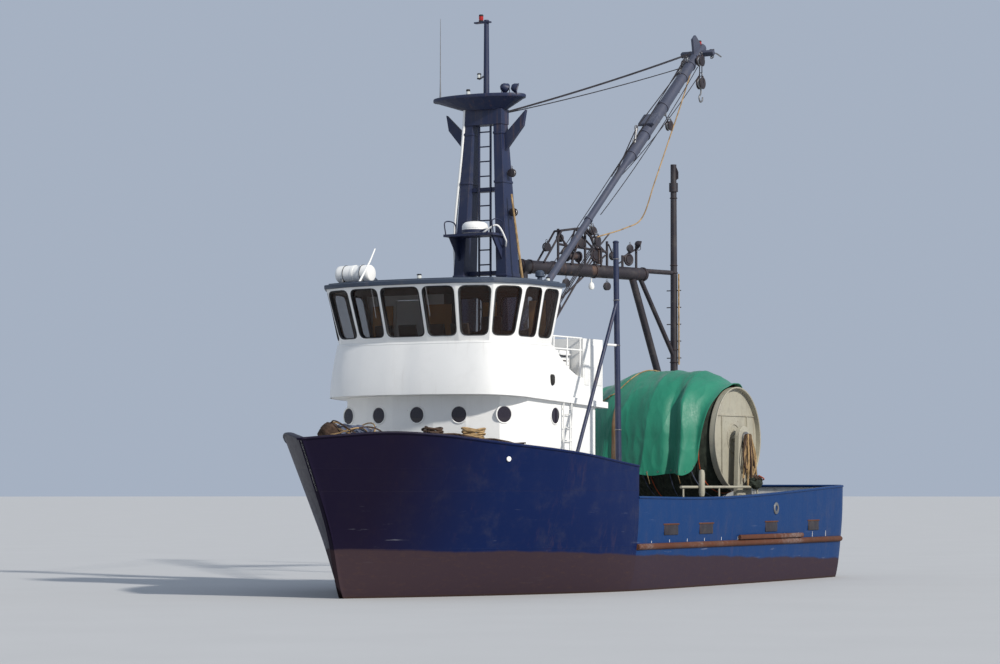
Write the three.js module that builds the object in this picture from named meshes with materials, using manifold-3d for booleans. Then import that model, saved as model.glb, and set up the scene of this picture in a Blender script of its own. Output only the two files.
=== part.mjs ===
// A house-forward steel fishing trawler, afloat. Millimetres, +X forward, +Y to port, +Z up.
// The origin is on the centreline, amidships, at the waterline.
import * as THREE from 'three';
import { mergeVertices } from 'three/addons/utils/BufferGeometryUtils.js';
import Module from 'manifold-3d';

const wasm = await Module();
wasm.setup();

// Driving dimensions
const LENGTH = 17700;
const HALF_BEAM = 3100;
const GAP = 0.3;
const at = (aft) => LENGTH / 2 - aft;

const FOREDECK = 2000;
const WORKDECK = 950;
const BREAK_AFT = 7300;
const BULWARK_WALL = 70;
const CAP = { width: 150, depth: 60 };
const STEM_BAR = 45;

const HOUSE_WALL = 90;
const HOUSE_AFT = 7350;
const BOATDECK = { front: 3970, aft: 3790, depth: 120, aftEnd: 7680 };
const CABIN_AFT = 5600;
const SILL = 4870;
const ROOF = { under: 5960, edge: 85, crown: 50 };

const MAST = { x: at(6550), top: 9400, dish: 9700, head: 9930, pole: 11560 };
const LUFF = { x: 1750, z: 4780, rise: 39.4, length: 11800 };
const GANTRY = { x: at(12650), y: -2720, z: 7035, radius: 150, near: 970, far: 4960 };
const REEL = { x: at(14750), z: 3140, radius: 1150, half: 1500, flange: 40, rim: 30, lip: 110 };
const RUDDER = { x: at(16450), top: -900, foot: -2250 };
const SCREW = { x: at(15620), z: -1650, radius: 600 };
const HATCH = { fore: -1850, aft: -3450, half: 850, height: 400, wall: 60, lid: 70 };
const WINCH = { x: 150, z: 1620, flange: 420, core: 150 };
const WINDLASS = { x: at(1750), z: 2560 };

// Finishes: colour, roughness, metalness
const FINISH = {
  navy: [0x1c2c55, 0.45, 0.1],
  blue: [0x1d4488, 0.45, 0.1],
  antifouling: [0x3a302c, 0.8, 0.0],
  white: [0xe4e2db, 0.5, 0.0],
  roof: [0x3c4350, 0.5, 0.1],
  mast: [0x232c4a, 0.5, 0.2],
  dark: [0x2a2631, 0.55, 0.2],
  deck: [0x6d7277, 0.8, 0.0],
  steel: [0x8b8d90, 0.4, 0.8],
  bronze: [0x8e6f3c, 0.4, 0.9],
  beige: [0xb9b0a2, 0.6, 0.1],
  net: [0x46523f, 0.95, 0.0],
  tarp: [0x16866a, 0.7, 0.0],
  rust: [0x7c4a31, 0.8, 0.1],
  console: [0x55504a, 0.8, 0.0],
};

// Geometry helpers

const vec = (x, y, z) => new THREE.Vector3(x, y, z);
const radians = THREE.MathUtils.degToRad;

// Value of a table of [place, value] rows at a place, on straight lines between the rows.
function onTable(table, place) {
  if (place <= table[0][0]) return table[0][1];
  for (let row = 1; row < table.length; row++) {
    const [here, value] = table[row];
    const [before, last] = table[row - 1];
    if (place <= here) return last + ((value - last) * (place - before)) / (here - before);
  }
  return table[table.length - 1][1];
}

// The triangles that fill a ring of points, turned the way the ring runs.
function fill(ring) {
  const normal = vec(0, 0, 0);
  ring.forEach((p, i) => {
    const q = ring[(i + 1) % ring.length];
    normal.x += (p.y - q.y) * (p.z + q.z);
    normal.y += (p.z - q.z) * (p.x + q.x);
    normal.z += (p.x - q.x) * (p.y + q.y);
  });
  normal.normalize();
  const across = Math.abs(normal.z) < 0.9 ? vec(0, 0, 1) : vec(1, 0, 0);
  const u = across.cross(normal).normalize();
  const v = normal.clone().cross(u);
  const flat = ring.map((p) => new THREE.Vector2(p.dot(u), p.dot(v)));
  return THREE.ShapeUtils.triangulateShape(flat, []).map(([a, b, c]) => {
    const turn = (flat[b].x - flat[a].x) * (flat[c].y - flat[a].y)
      - (flat[c].x - flat[a].x) * (flat[b].y - flat[a].y);
    return turn > 0 ? [a, b, c] : [a, c, b];
  });
}

// A closed body through rings of points, which all have the same number of points.
function skin(rings) {
  const size = rings[0].length;
  const faces = [];
  for (let r = 0; r + 1 < rings.length; r++) {
    for (let i = 0; i < size; i++) {
      const [a, b] = [r * size + i, r * size + ((i + 1) % size)];
      faces.push([a, b, b + size], [a, b + size, a + size]);
    }
  }
  const last = (rings.length - 1) * size;
  fill(rings[0]).forEach(([a, b, c]) => faces.push([c, b, a]));
  fill(rings[rings.length - 1]).forEach(([a, b, c]) => faces.push([a + last, b + last, c + last]));
  const points = rings.flat();
  const volume = faces.reduce(
    (sum, [a, b, c]) => sum + points[a].dot(points[b].clone().cross(points[c])), 0);
  const geometry = new THREE.BufferGeometry().setFromPoints(points);
  geometry.setIndex((volume < 0 ? faces.map(([a, b, c]) => [a, c, b]) : faces).flat());
  return geometry;
}

// The same body as a solid that can be joined and cut.
function solid(geometry) {
  const bare = geometry.clone();
  bare.deleteAttribute('normal');
  bare.deleteAttribute('uv');
  const merged = mergeVertices(bare, 0.01);
  return new wasm.Manifold(new wasm.Mesh({
    numProp: 3,
    vertProperties: new Float32Array(merged.attributes.position.array),
    triVerts: new Uint32Array(merged.index.array),
  }));
}

const body = (rings) => solid(skin(rings));
const join = (solids) => solids.reduce((all, next) => all.add(next));

function toGeometry(shape) {
  const mesh = shape.getMesh();
  const geometry = new THREE.BufferGeometry();
  geometry.setAttribute('position', new THREE.BufferAttribute(new Float32Array(mesh.vertProperties), 3));
  geometry.setIndex(new THREE.BufferAttribute(new Uint32Array(mesh.triVerts), 1));
  return geometry;
}

function box(x0, x1, y0, y1, z0, z1) {
  const shape = new THREE.BoxGeometry(x1 - x0, y1 - y0, z1 - z0);
  return solid(shape.translate((x0 + x1) / 2, (y0 + y1) / 2, (z0 + z1) / 2));
}

// A round bar between two points.
function bar(from, to, radius, endRadius = radius, sides = 12) {
  const along = to.clone().sub(from);
  const shape = new THREE.CylinderGeometry(endRadius, radius, along.length(), sides);
  const turn = new THREE.Quaternion().setFromUnitVectors(vec(0, 1, 0), along.clone().normalize());
  shape.applyQuaternion(turn);
  return solid(shape.translate(...from.clone().add(to).multiplyScalar(0.5).toArray()));
}

// A box section bar between two level rings: each end is { x, y, z, long, wide }.
function boxLeg(low, high) {
  const ring = ({ x, y, z, long, wide }) => [
    vec(x - long / 2, y - wide / 2, z), vec(x + long / 2, y - wide / 2, z),
    vec(x + long / 2, y + wide / 2, z), vec(x - long / 2, y + wide / 2, z),
  ];
  return body([ring(low), ring(high)]);
}

// A plate with an outline of [x, z] points, from y0 to y1.
const platesXZ = (outline, y0, y1) => body([y0, y1].map((y) => outline.map(([x, z]) => vec(x, y, z))));
// A plate with an outline of [y, z] points, from x0 to x1.
const platesYZ = (outline, x0, x1) => body([x0, x1].map((x) => outline.map(([y, z]) => vec(x, y, z))));

// A turned body about Y: profile rows are [radius, y], from the axis and back to it.
function turnedY(profile, sides = 20) {
  const shape = new THREE.LatheGeometry(profile.map(([r, y]) => new THREE.Vector2(r, y)), sides);
  return solid(shape);
}

// A bar of box section along a path of points, width inwards from it and depth below it.
function railBar(path, width, depth, outward = 0) {
  const rings = path.map((p, i) => {
    const before = path[Math.max(i - 1, 0)];
    const after = path[Math.min(i + 1, path.length - 1)];
    const run = after.clone().sub(before).setZ(0).normalize();
    const inward = vec(-run.y, run.x, 0);
    const outer = p.clone().addScaledVector(inward, -outward);
    const inner = p.clone().addScaledVector(inward, width - outward);
    const drop = vec(0, 0, -depth);
    return [outer, inner, inner.clone().add(drop), outer.clone().add(drop)];
  });
  return body(rings);
}

// Hull form

// Each level of the hull: where it starts aft of the stem head, its half breadth amidships and at
// the transom, the length over which the bow fills out to it, and how full that bow is.
const LEVELS = [
  { stem: 0, full: HALF_BEAM, stern: 2930, run: 6000, power: 2.1 },
  { stem: 900, full: 3060, stern: 2890, run: 6200, power: 1.85 },
  { stem: 1350, full: 2900, stern: 2720, run: 6500, power: 1.6 },
  { stem: 2100, full: 2560, stern: 2380, run: 7000, power: 1.4 },
  { stem: 2900, full: 0, stern: 0, run: 1, power: 1 },
];
// Height of each level, as rows of [aft, height]
const HEIGHTS = [
  [[0, 2970], [500, 3030], [1200, 3090], [2000, 3050], [3000, 2930], [5000, 2740], [7300, 2500],
    [17700, 2300]],
  [[0, 1330], [6000, 1150], [17700, 1200]],
  [[0, 0], [17700, 0]],
  [[2100, -560], [6000, -760], [12500, -760], [17700, -250]],
  [[2900, -1180], [6000, -1500], [10500, -1560], [14000, -1080], [17700, -420]],
];
const AFT_RAIL = [[7300, 1880], [10000, 1850], [17700, 2100]];
const STATIONS = [0, 0.022, 0.05, 0.09, 0.14, 0.2, 0.27, 0.35, 0.45, 0.6, 0.75, 0.9, 0.975, 1];
const CORNER = 0.94;
const TAPER_FROM = 12000;

function halfBreadth(level, aft, station) {
  const { stem, full, stern, run, power } = LEVELS[level];
  const filled = Math.min((aft - stem) / run, 1);
  const bow = 1 - Math.pow(1 - filled, power);
  const narrowing = Math.max((aft - TAPER_FROM) / (LENGTH - TAPER_FROM), 0);
  const plain = bow * (full + (stern - full) * narrowing * narrowing);
  return station === 1 ? plain * CORNER : plain;
}

// Rings of the hull's outline at each station, drawn in by inset all round and raised by lift at the rail.
function hullRings(inset, lift) {
  return STATIONS.map((station) => {
    const side = LEVELS.map(({ stem }, level) => {
      const start = stem + inset * 2;
      const aft = start + (LENGTH - inset - start) * station;
      const half = halfBreadth(level, aft, station) - inset;
      const keelLine = level === LEVELS.length - 1;
      const height = onTable(HEIGHTS[level], aft) + (level === 0 ? lift : 0) + (keelLine ? inset : 0);
      return vec(at(aft), keelLine ? 0 : Math.max(half, STEM_BAR - inset / 2), height);
    });
    const other = side.slice(0, -1).reverse().map((p) => vec(p.x, -p.y, p.z));
    return [...side, ...other];
  });
}

// Points of the rail, from the port side round the bow or the stern to starboard.
function railPath(afts, heightAt) {
  const port = afts.map((aft) => {
    const station = aft === LENGTH ? 1 : 0;
    return vec(at(aft), Math.max(halfBreadth(0, aft, station), STEM_BAR), heightAt(aft));
  });
  return [...port, ...port.slice().reverse().map((p) => vec(p.x, -p.y, p.z))];
}

const outerHull = body(hullRings(0, 0));
const shell = outerHull.subtract(body(hullRings(BULWARK_WALL, 200)));

const belowDecks = platesXZ([
  [-9500, -4000], [9500, -4000], [9500, FOREDECK], [at(BREAK_AFT), FOREDECK],
  [at(BREAK_AFT), WORKDECK], [-9500, WORKDECK],
], -4000, 4000);

// A bar keel that deepens aft, with a shoe under the screw to the rudder's heel.
const keel = platesXZ([
  [at(2300), -800], [at(3300), -1000], [at(15250), -800], [at(15250), -2330], [at(16750), -2330],
  [at(16750), -2450], [at(14900), -2450], [at(5200), -2050], [at(3600), -1720], [at(2650), -1250],
], -110, 110);
const HUB = { fore: 160, aft: 170 };
const sternTube = bar(vec(at(14600), 0, SCREW.z), vec(SCREW.x + HUB.fore + GAP, 0, SCREW.z), 150, 110);
const rudderTrunk = bar(vec(RUDDER.x, 0, -840), vec(RUDDER.x, 0, -300), 110);

// A guard along each side at the working deck.
const GUARD = { width: 160, depth: 130, proud: 55, top: WORKDECK - 5 };
const guardAfts = [7300, 9000, 12000, 14000, 16000, 17400];
const guards = [1, -1].map((side) => {
  const path = guardAfts.map((aft) => vec(at(aft), side * halfBreadth(1, aft, 0), GUARD.top));
  return railBar(side > 0 ? path : path.reverse(), GUARD.width, GUARD.depth, GUARD.proud);
});

const hull = join([outerHull.intersect(belowDecks), keel, sternTube, rudderTrunk, ...guards]);

const bowAfts = [7300, 6200, 5000, 3800, 2800, 2000, 1400, 900, 500, 200, 0];
const sternAfts = [7300, 10000, 13000, 15500, 17250, 17700];
const bowCap = railBar(railPath(bowAfts, (aft) => onTable(HEIGHTS[0], aft) + 5), CAP.width, CAP.depth, 15);
const sternCap = railBar(
  railPath(sternAfts, (aft) => onTable(AFT_RAIL, aft)).reverse(), CAP.width, CAP.depth, 15);

const forwardZone = box(at(BREAK_AFT) + GAP, 9500, -4000, 4000, FOREDECK + GAP, 4000);
const bulwarkForward = shell.intersect(forwardZone).add(bowCap.intersect(forwardZone));
const aftZone = platesXZ([
  [-9500, WORKDECK + GAP], [at(BREAK_AFT) - GAP, WORKDECK + GAP],
  ...AFT_RAIL.map(([aft, height]) => [at(aft) - (aft === BREAK_AFT ? GAP : 0), height - 20]),
  [-9500, 2080],
], -4000, 4000);
const bulwarkAft = shell.intersect(aftZone).add(sternCap.intersect(
  box(-9500, at(BREAK_AFT) - GAP, -4000, 4000, WORKDECK + GAP, 2500)));

// Deckhouse and pilothouse plans

// Half a plan from the centre of the front to port: rows of [length, degrees from straight across].
const FRONTS = {
  house: { aft: 3800, rows: [[470, 0], [680, 10], [660, 20], [620, 60]] },
  band: { aft: 3510, rows: [[470, 0], [710, 6], [640, 17], [500, 52], [750, 88]] },
  sill: { aft: 3600, rows: [[470, 0], [665, 6], [600, 16], [540, 52], [720, 88]] },
  eaves: { aft: 3270, rows: [[480, 0], [760, 7], [745, 22], [700, 58], [650, 88]] },
};

// The closed plan as [x, y] points, from the port aft corner round the front to starboard.
function plan({ aft, rows }, aftEnd) {
  const port = [];
  let [x, y] = [at(aft), 0];
  for (const [length, angle] of rows) {
    x -= length * Math.sin(radians(angle));
    y += length * Math.cos(radians(angle));
    port.push([x, y]);
  }
  port.push([at(aftEnd), y]);
  return [...port.slice().reverse(), ...port.map(([px, py]) => [px, -py])];
}

// The plan moved in by a distance along each corner's mitre.
function inset(outline, distance) {
  return outline.map(([x, y], i) => {
    const count = outline.length;
    const [bx, by] = outline[(i + count - 1) % count];
    const [ax, ay] = outline[(i + 1) % count];
    const before = new THREE.Vector2(x - bx, y - by).normalize();
    const after = new THREE.Vector2(ax - x, ay - y).normalize();
    const n1 = new THREE.Vector2(-before.y, before.x);
    const n2 = new THREE.Vector2(-after.y, after.x);
    const mitre = n1.clone().add(n2).normalize();
    const reach = distance / mitre.dot(n1);
    return [x - mitre.x * reach, y - mitre.y * reach];
  });
}

const ringAt = (outline, z) => outline.map(([x, y]) => vec(x, y, typeof z === 'function' ? z(x) : z));
const between = (low, zLow, high, zHigh) => body([ringAt(low, zLow), ringAt(high, zHigh)]);

// Height of the boat deck's top, which falls aft.
function boatDeckTop(x) {
  const [front, back] = [at(FRONTS.band.aft), at(HOUSE_AFT)];
  return BOATDECK.aft + ((BOATDECK.front - BOATDECK.aft) * (x - back)) / (front - back);
}
const deckUnder = (x) => boatDeckTop(x) - BOATDECK.depth;

const housePlan = plan(FRONTS.house, HOUSE_AFT);
// Each door hangs on barrels just outside the wall at its outboard jamb.
const DOOR = { wide: 640, gap: 12, thick: 50, recess: 20, barrel: 14, strap: 60 };
const HOUSE_DOOR = { y: 1200, foot: 2090, top: 3620, side: 1 };
const CABIN_DOOR = { y: -1180, foot: 3960, top: 5820, side: -1 };

const doorway = (door, x) => box(
  x - 300, x + 300, door.y - DOOR.wide / 2 - DOOR.gap, door.y + DOOR.wide / 2 + DOOR.gap,
  door.foot - DOOR.gap, door.top + DOOR.gap);
function doorLeaf(door, x) {
  const leaf = box(x + DOOR.recess, x + DOOR.recess + DOOR.thick,
    door.y - DOOR.wide / 2, door.y + DOOR.wide / 2, door.foot, door.top);
  const hinge = vec(x - DOOR.barrel - GAP, door.y + door.side * (DOOR.wide / 2 + DOOR.gap), 0);
  const barrels = [door.foot + 250, door.top - 250].flatMap((z) => [
    bar(vec(hinge.x, hinge.y, z - 60), vec(hinge.x, hinge.y, z + 60), DOOR.barrel),
    box(hinge.x - 8, x + DOOR.recess + 5, Math.min(hinge.y, hinge.y - door.side * DOOR.strap),
      Math.max(hinge.y, hinge.y - door.side * DOOR.strap), z - 40, z + 40),
  ]);
  return join([leaf, ...barrels]);
}

const deckhouseWalls = between(housePlan, FOREDECK + GAP, housePlan, (x) => deckUnder(x) - GAP)
  .subtract(between(inset(housePlan, HOUSE_WALL), 1500, inset(housePlan, HOUSE_WALL), 4500))
  .subtract(doorway(HOUSE_DOOR, at(HOUSE_AFT)));

const bandPlan = plan(FRONTS.band, CABIN_AFT);
const deckPlan = inset(plan(FRONTS.band, BOATDECK.aftEnd), -40);
const boatDeck = between(deckPlan, deckUnder, deckPlan, boatDeckTop);

const sillPlan = plan(FRONTS.sill, CABIN_AFT);
const eavesPlan = plan(FRONTS.eaves, CABIN_AFT);
const cabinDoorway = doorway(CABIN_DOOR, at(CABIN_AFT));
const pilothouseBand = between(bandPlan, (x) => boatDeckTop(x) + GAP, sillPlan, SILL)
  .subtract(between(inset(bandPlan, HOUSE_WALL), 3600, inset(sillPlan, HOUSE_WALL), SILL + 100))
  .subtract(cabinDoorway);

// A window through one panel of the window wall: u0..u1 of its length and v0..v1 of its height.
function windowCut(panel, u0, u1, v0, v1) {
  const corner = (u, v) => {
    const low = ringAt(sillPlan, SILL);
    const high = ringAt(eavesPlan, ROOF.under);
    const next = (panel + 1) % low.length;
    const foot = low[panel].clone().lerp(low[next], u);
    return foot.lerp(high[panel].clone().lerp(high[next], u), v);
  };
  const quad = [corner(u0, v0), corner(u1, v0), corner(u1, v1), corner(u0, v1)];
  const normal = quad[1].clone().sub(quad[0]).cross(quad[3].clone().sub(quad[0])).normalize();
  return body([-250, 250].map((reach) => quad.map((p) => p.clone().addScaledVector(normal, reach))));
}

// Panels run from the port aft corner: the port side, the corner, the front halves, then starboard.
const WINDOW_V = [0.1, 0.95];
const WINDOWS = [
  // panel, from, to
  [0, 0.16, 0.9], [1, 0.07, 0.92], [2, 0.1, 0.9], [3, 0.06, 0.91], [4, 0.06, 0.94], [5, 0.05, 0.95],
];
const mirrored = WINDOWS.slice(0, 5).map(([panel, from, to]) => [10 - panel, 1 - to, 1 - from]);
const aftWindow = (y) => box(at(CABIN_AFT) - 300, at(CABIN_AFT) + 300, y - 330, y + 330, 5140, 5820);
let windowWall = between(sillPlan, SILL + GAP, eavesPlan, ROOF.under)
  .subtract(between(inset(sillPlan, HOUSE_WALL), SILL - 10, inset(eavesPlan, HOUSE_WALL), ROOF.under + 10))
  .subtract(cabinDoorway)
  .subtract(aftWindow(1250))
  .subtract(aftWindow(200));
for (const [panel, from, to] of [...WINDOWS, ...mirrored]) {
  windowWall = windowWall.subtract(windowCut(panel, from, to, ...WINDOW_V));
}

const roofPlan = inset(eavesPlan, -45);
const roof = body([
  ringAt(roofPlan, ROOF.under + GAP), ringAt(roofPlan, ROOF.under + ROOF.edge),
  ringAt(inset(roofPlan, 420), ROOF.under + ROOF.edge + ROOF.crown),
]);

const CONSOLE = { fore: 4900, aft: 4350, half: 1250, top: 4930 };
const helmConsole = platesXZ([
  [CONSOLE.aft, boatDeckTop(CONSOLE.aft) + GAP], [CONSOLE.fore, boatDeckTop(CONSOLE.fore) + GAP],
  [CONSOLE.fore, CONSOLE.top], [CONSOLE.aft + 120, CONSOLE.top], [CONSOLE.aft, CONSOLE.top - 260],
], -CONSOLE.half, CONSOLE.half);

// Boat deck furniture

const SCREEN = { y: 2085, thick: 40, fore: at(CABIN_AFT) - 5, aft: at(6830) };
const screenTop = [[SCREEN.fore, 4850], [2950, 4640], [2620, 4420], [2300, 4290], [SCREEN.aft, 4240]];
const screen = (side) => {
  const outline = [
    [SCREEN.aft, boatDeckTop(SCREEN.aft) + GAP], [SCREEN.fore, boatDeckTop(SCREEN.fore) + GAP], ...screenTop,
  ];
  return platesXZ(outline, side * SCREEN.y, side * (SCREEN.y - SCREEN.thick));
};

const LOCKER = { aft: 1215, fore: SCREEN.aft - 5, inner: 1350, outer: 2085, top: 5030 };
const locker = (side) => platesXZ([
  [LOCKER.aft, boatDeckTop(LOCKER.aft) + GAP], [LOCKER.fore, boatDeckTop(LOCKER.fore) + GAP],
  [LOCKER.fore, LOCKER.top], [LOCKER.aft, LOCKER.top],
], side * LOCKER.inner, side * LOCKER.outer);

const CASING = { aft: 2140, fore: 3060, inner: 1050, outer: 1840, top: 4780 };
const ventCasing = platesXZ([
  [CASING.aft, boatDeckTop(CASING.aft) + GAP], [CASING.fore, boatDeckTop(CASING.fore) + GAP],
  [CASING.fore, CASING.top], [CASING.aft, CASING.top],
], CASING.inner, CASING.outer);

// The landing under the deckhouse door and its two steps down: fore, starboard side, port side, top
const LANDING_AFT = 900;
const LANDING = [[at(HOUSE_AFT) - 5, 700, 1700, 1990], [1400, 400, 720, 1640], [1400, 100, 420, 1300]];
const landing = join(LANDING.map(
  ([fore, y0, y1, top]) => box(LANDING_AFT, fore, y0, y1, WORKDECK + GAP, top)));

// Mast

const LEG = { footY: 645, footWide: 290, footLong: 720, headY: 335, headWide: 180, headLong: 270 };
const legFoot = boatDeckTop(MAST.x + LEG.footLong / 2) + GAP;
const mastLeg = (side) => {
  const leg = boxLeg(
    { x: MAST.x, y: side * LEG.footY, z: legFoot, long: LEG.footLong, wide: LEG.footWide },
    { x: MAST.x, y: side * LEG.headY, z: MAST.top, long: LEG.headLong, wide: LEG.headWide });
  const fin = platesYZ([
    [side * 400, 8780], [side * 880, 9340], [side * 940, 9660], [side * 750, 9480], [side * 380, 9130],
  ], MAST.x - 40, MAST.x + 40);
  return leg.add(fin);
};

// The legs' forward and aft faces lean in too: how far they stand from the mast's middle at a height.
const legFace = (z) => onTable([[legFoot, LEG.footLong / 2], [MAST.top, LEG.headLong / 2]], z) + GAP;

// The head is a block on both legs, a dish that stands further out to starboard, and the pole.
const DISH = { foot: { long: 230, half: 470, y: 0 }, rim: { long: 470, half: 1050, y: -170 }, edge: 60 };
const dishRing = ({ long, half, y }, z) => Array.from({ length: 20 }, (_, i) => {
  const turn = (i / 20) * 2 * Math.PI;
  return vec(MAST.x + long * Math.cos(turn), y + half * Math.sin(turn), z);
});
const mastHead = join([
  box(MAST.x - 150, MAST.x + 150, -440, 440, MAST.top + GAP, MAST.dish + 10),
  body([
    dishRing(DISH.foot, MAST.dish), dishRing(DISH.rim, MAST.head), dishRing(DISH.rim, MAST.head + DISH.edge),
  ]),
  bar(vec(MAST.x, 0, MAST.head), vec(MAST.x, 0, MAST.pole), 62, 50),
  box(MAST.x - 50, MAST.x + 50, -270, 90, MAST.pole - 60, MAST.pole - 30),
]);

const LADDER = { x: MAST.x + 60, half: 130, foot: 3960, top: 9390, rung: 300 };
const rungs = [];
for (let z = LADDER.foot + 200; z < LADDER.top - 100; z += LADDER.rung) {
  rungs.push(bar(vec(LADDER.x, -LADDER.half, z), vec(LADDER.x, LADDER.half, z), 14, 14, 8));
}
const TIES = [4700, 6350, 8050];
const ladder = join([
  box(LADDER.x - 20, LADDER.x + 20, LADDER.half - 10, LADDER.half + 20, LADDER.foot, LADDER.top),
  box(LADDER.x - 20, LADDER.x + 20, -LADDER.half - 20, -LADDER.half + 10, LADDER.foot, LADDER.top),
  ...rungs,
]);
// Each tie spans the legs' inner faces, which lean in towards the head.
const innerFace = (z) => onTable([
  [legFoot, LEG.footY - LEG.footWide / 2], [MAST.top, LEG.headY - LEG.headWide / 2],
], z) - GAP;
const TIE = 80;
const ties = TIES.map((z) => platesYZ([
  [-innerFace(z), z], [innerFace(z), z], [innerFace(z + TIE), z + TIE], [-innerFace(z + TIE), z + TIE],
], MAST.x - 180, LADDER.x));

const RADAR = { fore: MAST.x + 720, half: 580, z: 7100, depth: 50, knee: 6650, dome: MAST.x + 440 };
const onLegFront = (z) => [MAST.x + legFace(z), z];
const radarKnee = [onLegFront(RADAR.knee), [RADAR.fore - 100, RADAR.z + 5], onLegFront(RADAR.z + 5)];
const radarPlatform = join([
  platesXZ([
    onLegFront(RADAR.z), [RADAR.fore, RADAR.z], [RADAR.fore, RADAR.z + RADAR.depth],
    onLegFront(RADAR.z + RADAR.depth),
  ], -RADAR.half, RADAR.half),
  platesXZ(radarKnee, 480, 520),
  platesXZ(radarKnee, -520, -480),
]);
const radome = new THREE.LatheGeometry([
  [0, 0], [230, 0], [265, 60], [265, 170], [210, 240], [0, 265],
].map(([r, z]) => new THREE.Vector2(r, z)), 24).rotateX(Math.PI / 2);

// Boom, drawn along +X from its heel pin and raised aft

const STEP = { top: 4400, thick: 180, aft: 1560, half: 620, knee: 3990 };
const onLegBack = (z) => [MAST.x - legFace(z), z];
const stepKnee = [[1650, STEP.top - 170], onLegBack(STEP.top - 170), onLegBack(STEP.knee)];
const boomStep = join([
  platesXZ([
    [STEP.aft, STEP.top - STEP.thick], onLegBack(STEP.top - STEP.thick), onLegBack(STEP.top),
    [STEP.aft, STEP.top],
  ], -STEP.half, STEP.half),
  platesXZ(stepKnee, STEP.half - 80, STEP.half),
  platesXZ(stepKnee, -STEP.half, 80 - STEP.half),
]);
// The eye's flats stand just outside the pin's corners, so the pin turns in it.
const FORK = { inner: 95, outer: 135, pin: 36.3, eye: 37.3, sides: 24 };
const boomSwivel = join([
  bar(vec(0, 0, STEP.top + GAP - LUFF.z), vec(0, 0, -190), 135, 135, 16),
  box(-110, 110, -FORK.outer, FORK.outer, -240, -190 + 5),
  ...[1, -1].map((side) => platesXZ(
    [[-110, -200], [110, -200], [90, 60], [40, 100], [-40, 100], [-90, 60]],
    side * FORK.inner, side * FORK.outer)),
  bar(vec(0, -FORK.outer + 5, 0), vec(0, FORK.outer - 5, 0), FORK.pin, FORK.pin, FORK.sides),
]);

// Rows along the boom: distance from the pin, radius
const BOOM_ROWS = [
  [170, 80], [600, 80], [1500, 75], [6900, 75], [7250, 125], [9300, 130], [11300, 115], [LUFF.length, 110],
];
const boomRing = ([along, radius]) => Array.from({ length: 12 }, (_, i) => {
  const turn = (i / 12) * 2 * Math.PI;
  return vec(along, radius * Math.cos(turn), radius * Math.sin(turn));
});
const heel = join([
  bar(vec(0, -85, 0), vec(0, 85, 0), 88, 88, 16),
  box(0, 260, -80, 80, -75, 75),
]).subtract(bar(vec(0, -120, 0), vec(0, 120, 0), FORK.eye, FORK.eye, FORK.sides));
const boom = join([
  heel,
  body(BOOM_ROWS.map(boomRing)),
  box(11450, 11560, -420, 420, -60, 60),
  platesXZ([[11250, 0], [11780, 0], [11650, -420], [11480, -420]], -35, 35),
  platesXZ([[11350, 100], [11790, 100], [11700, 260], [11500, 260]], -30, 30),
  box(8300, 8700, -200, 200, -180, -100),
]);

// Gantry

// A round beam runs level from a post on the starboard side towards the pole at the stern, and an
// arm and two struts tie its end to the pole. Places along it are measured in plan from the pole.
const AFT_POLE = { x: at(17250), y: -1300, top: 9700, foot: 100, tip: 70 };
const BEAM_RUN = vec(GANTRY.x - AFT_POLE.x, GANTRY.y - AFT_POLE.y, 0).normalize();
const onRun = (along, z) => vec(AFT_POLE.x, AFT_POLE.y, z).addScaledVector(BEAM_RUN, along);

const beamBar = (grown) => bar(
  onRun(GANTRY.near - grown, GANTRY.z), onRun(GANTRY.far + grown, GANTRY.z), GANTRY.radius + grown);
const poleBar = (grown) => bar(
  onRun(0, WORKDECK + GAP), onRun(0, AFT_POLE.top), AFT_POLE.foot + grown, AFT_POLE.tip + grown);
const gantryBeam = beamBar(0);
const aftPole = poleBar(0).add(bar(onRun(0, 9050), onRun(0, 9260), AFT_POLE.tip + 35));
const cutToBoth = (shape) => shape.subtract(beamBar(GAP)).subtract(poleBar(GAP));

const ARM = { z: 7120, radius: 55 };
const gantryArm = cutToBoth(bar(onRun(0, ARM.z), onRun(GANTRY.near + GAP, ARM.z), ARM.radius));
const GANTRY_POST = { radius: 95, plate: 140, thick: 60 };
const gantryPost = join([
  bar(vec(GANTRY.x, GANTRY.y, WORKDECK + GANTRY_POST.thick / 2), vec(GANTRY.x, GANTRY.y, GANTRY.z),
    GANTRY_POST.radius),
  box(GANTRY.x - GANTRY_POST.plate, GANTRY.x + GANTRY_POST.plate, GANTRY.y - GANTRY_POST.plate,
    GANTRY.y + GANTRY_POST.plate, WORKDECK + GAP, WORKDECK + GANTRY_POST.thick),
]).subtract(beamBar(GAP));
// Each strut: its place on the beam, its height on the pole, its radius.
const STRUTS = { upper: [1184, 5125, 55], lower: [1419, 3320, 85] };
const gantryStrut = ([along, z, radius]) => cutToBoth(bar(onRun(along, GANTRY.z), onRun(0, z), radius));

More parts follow.
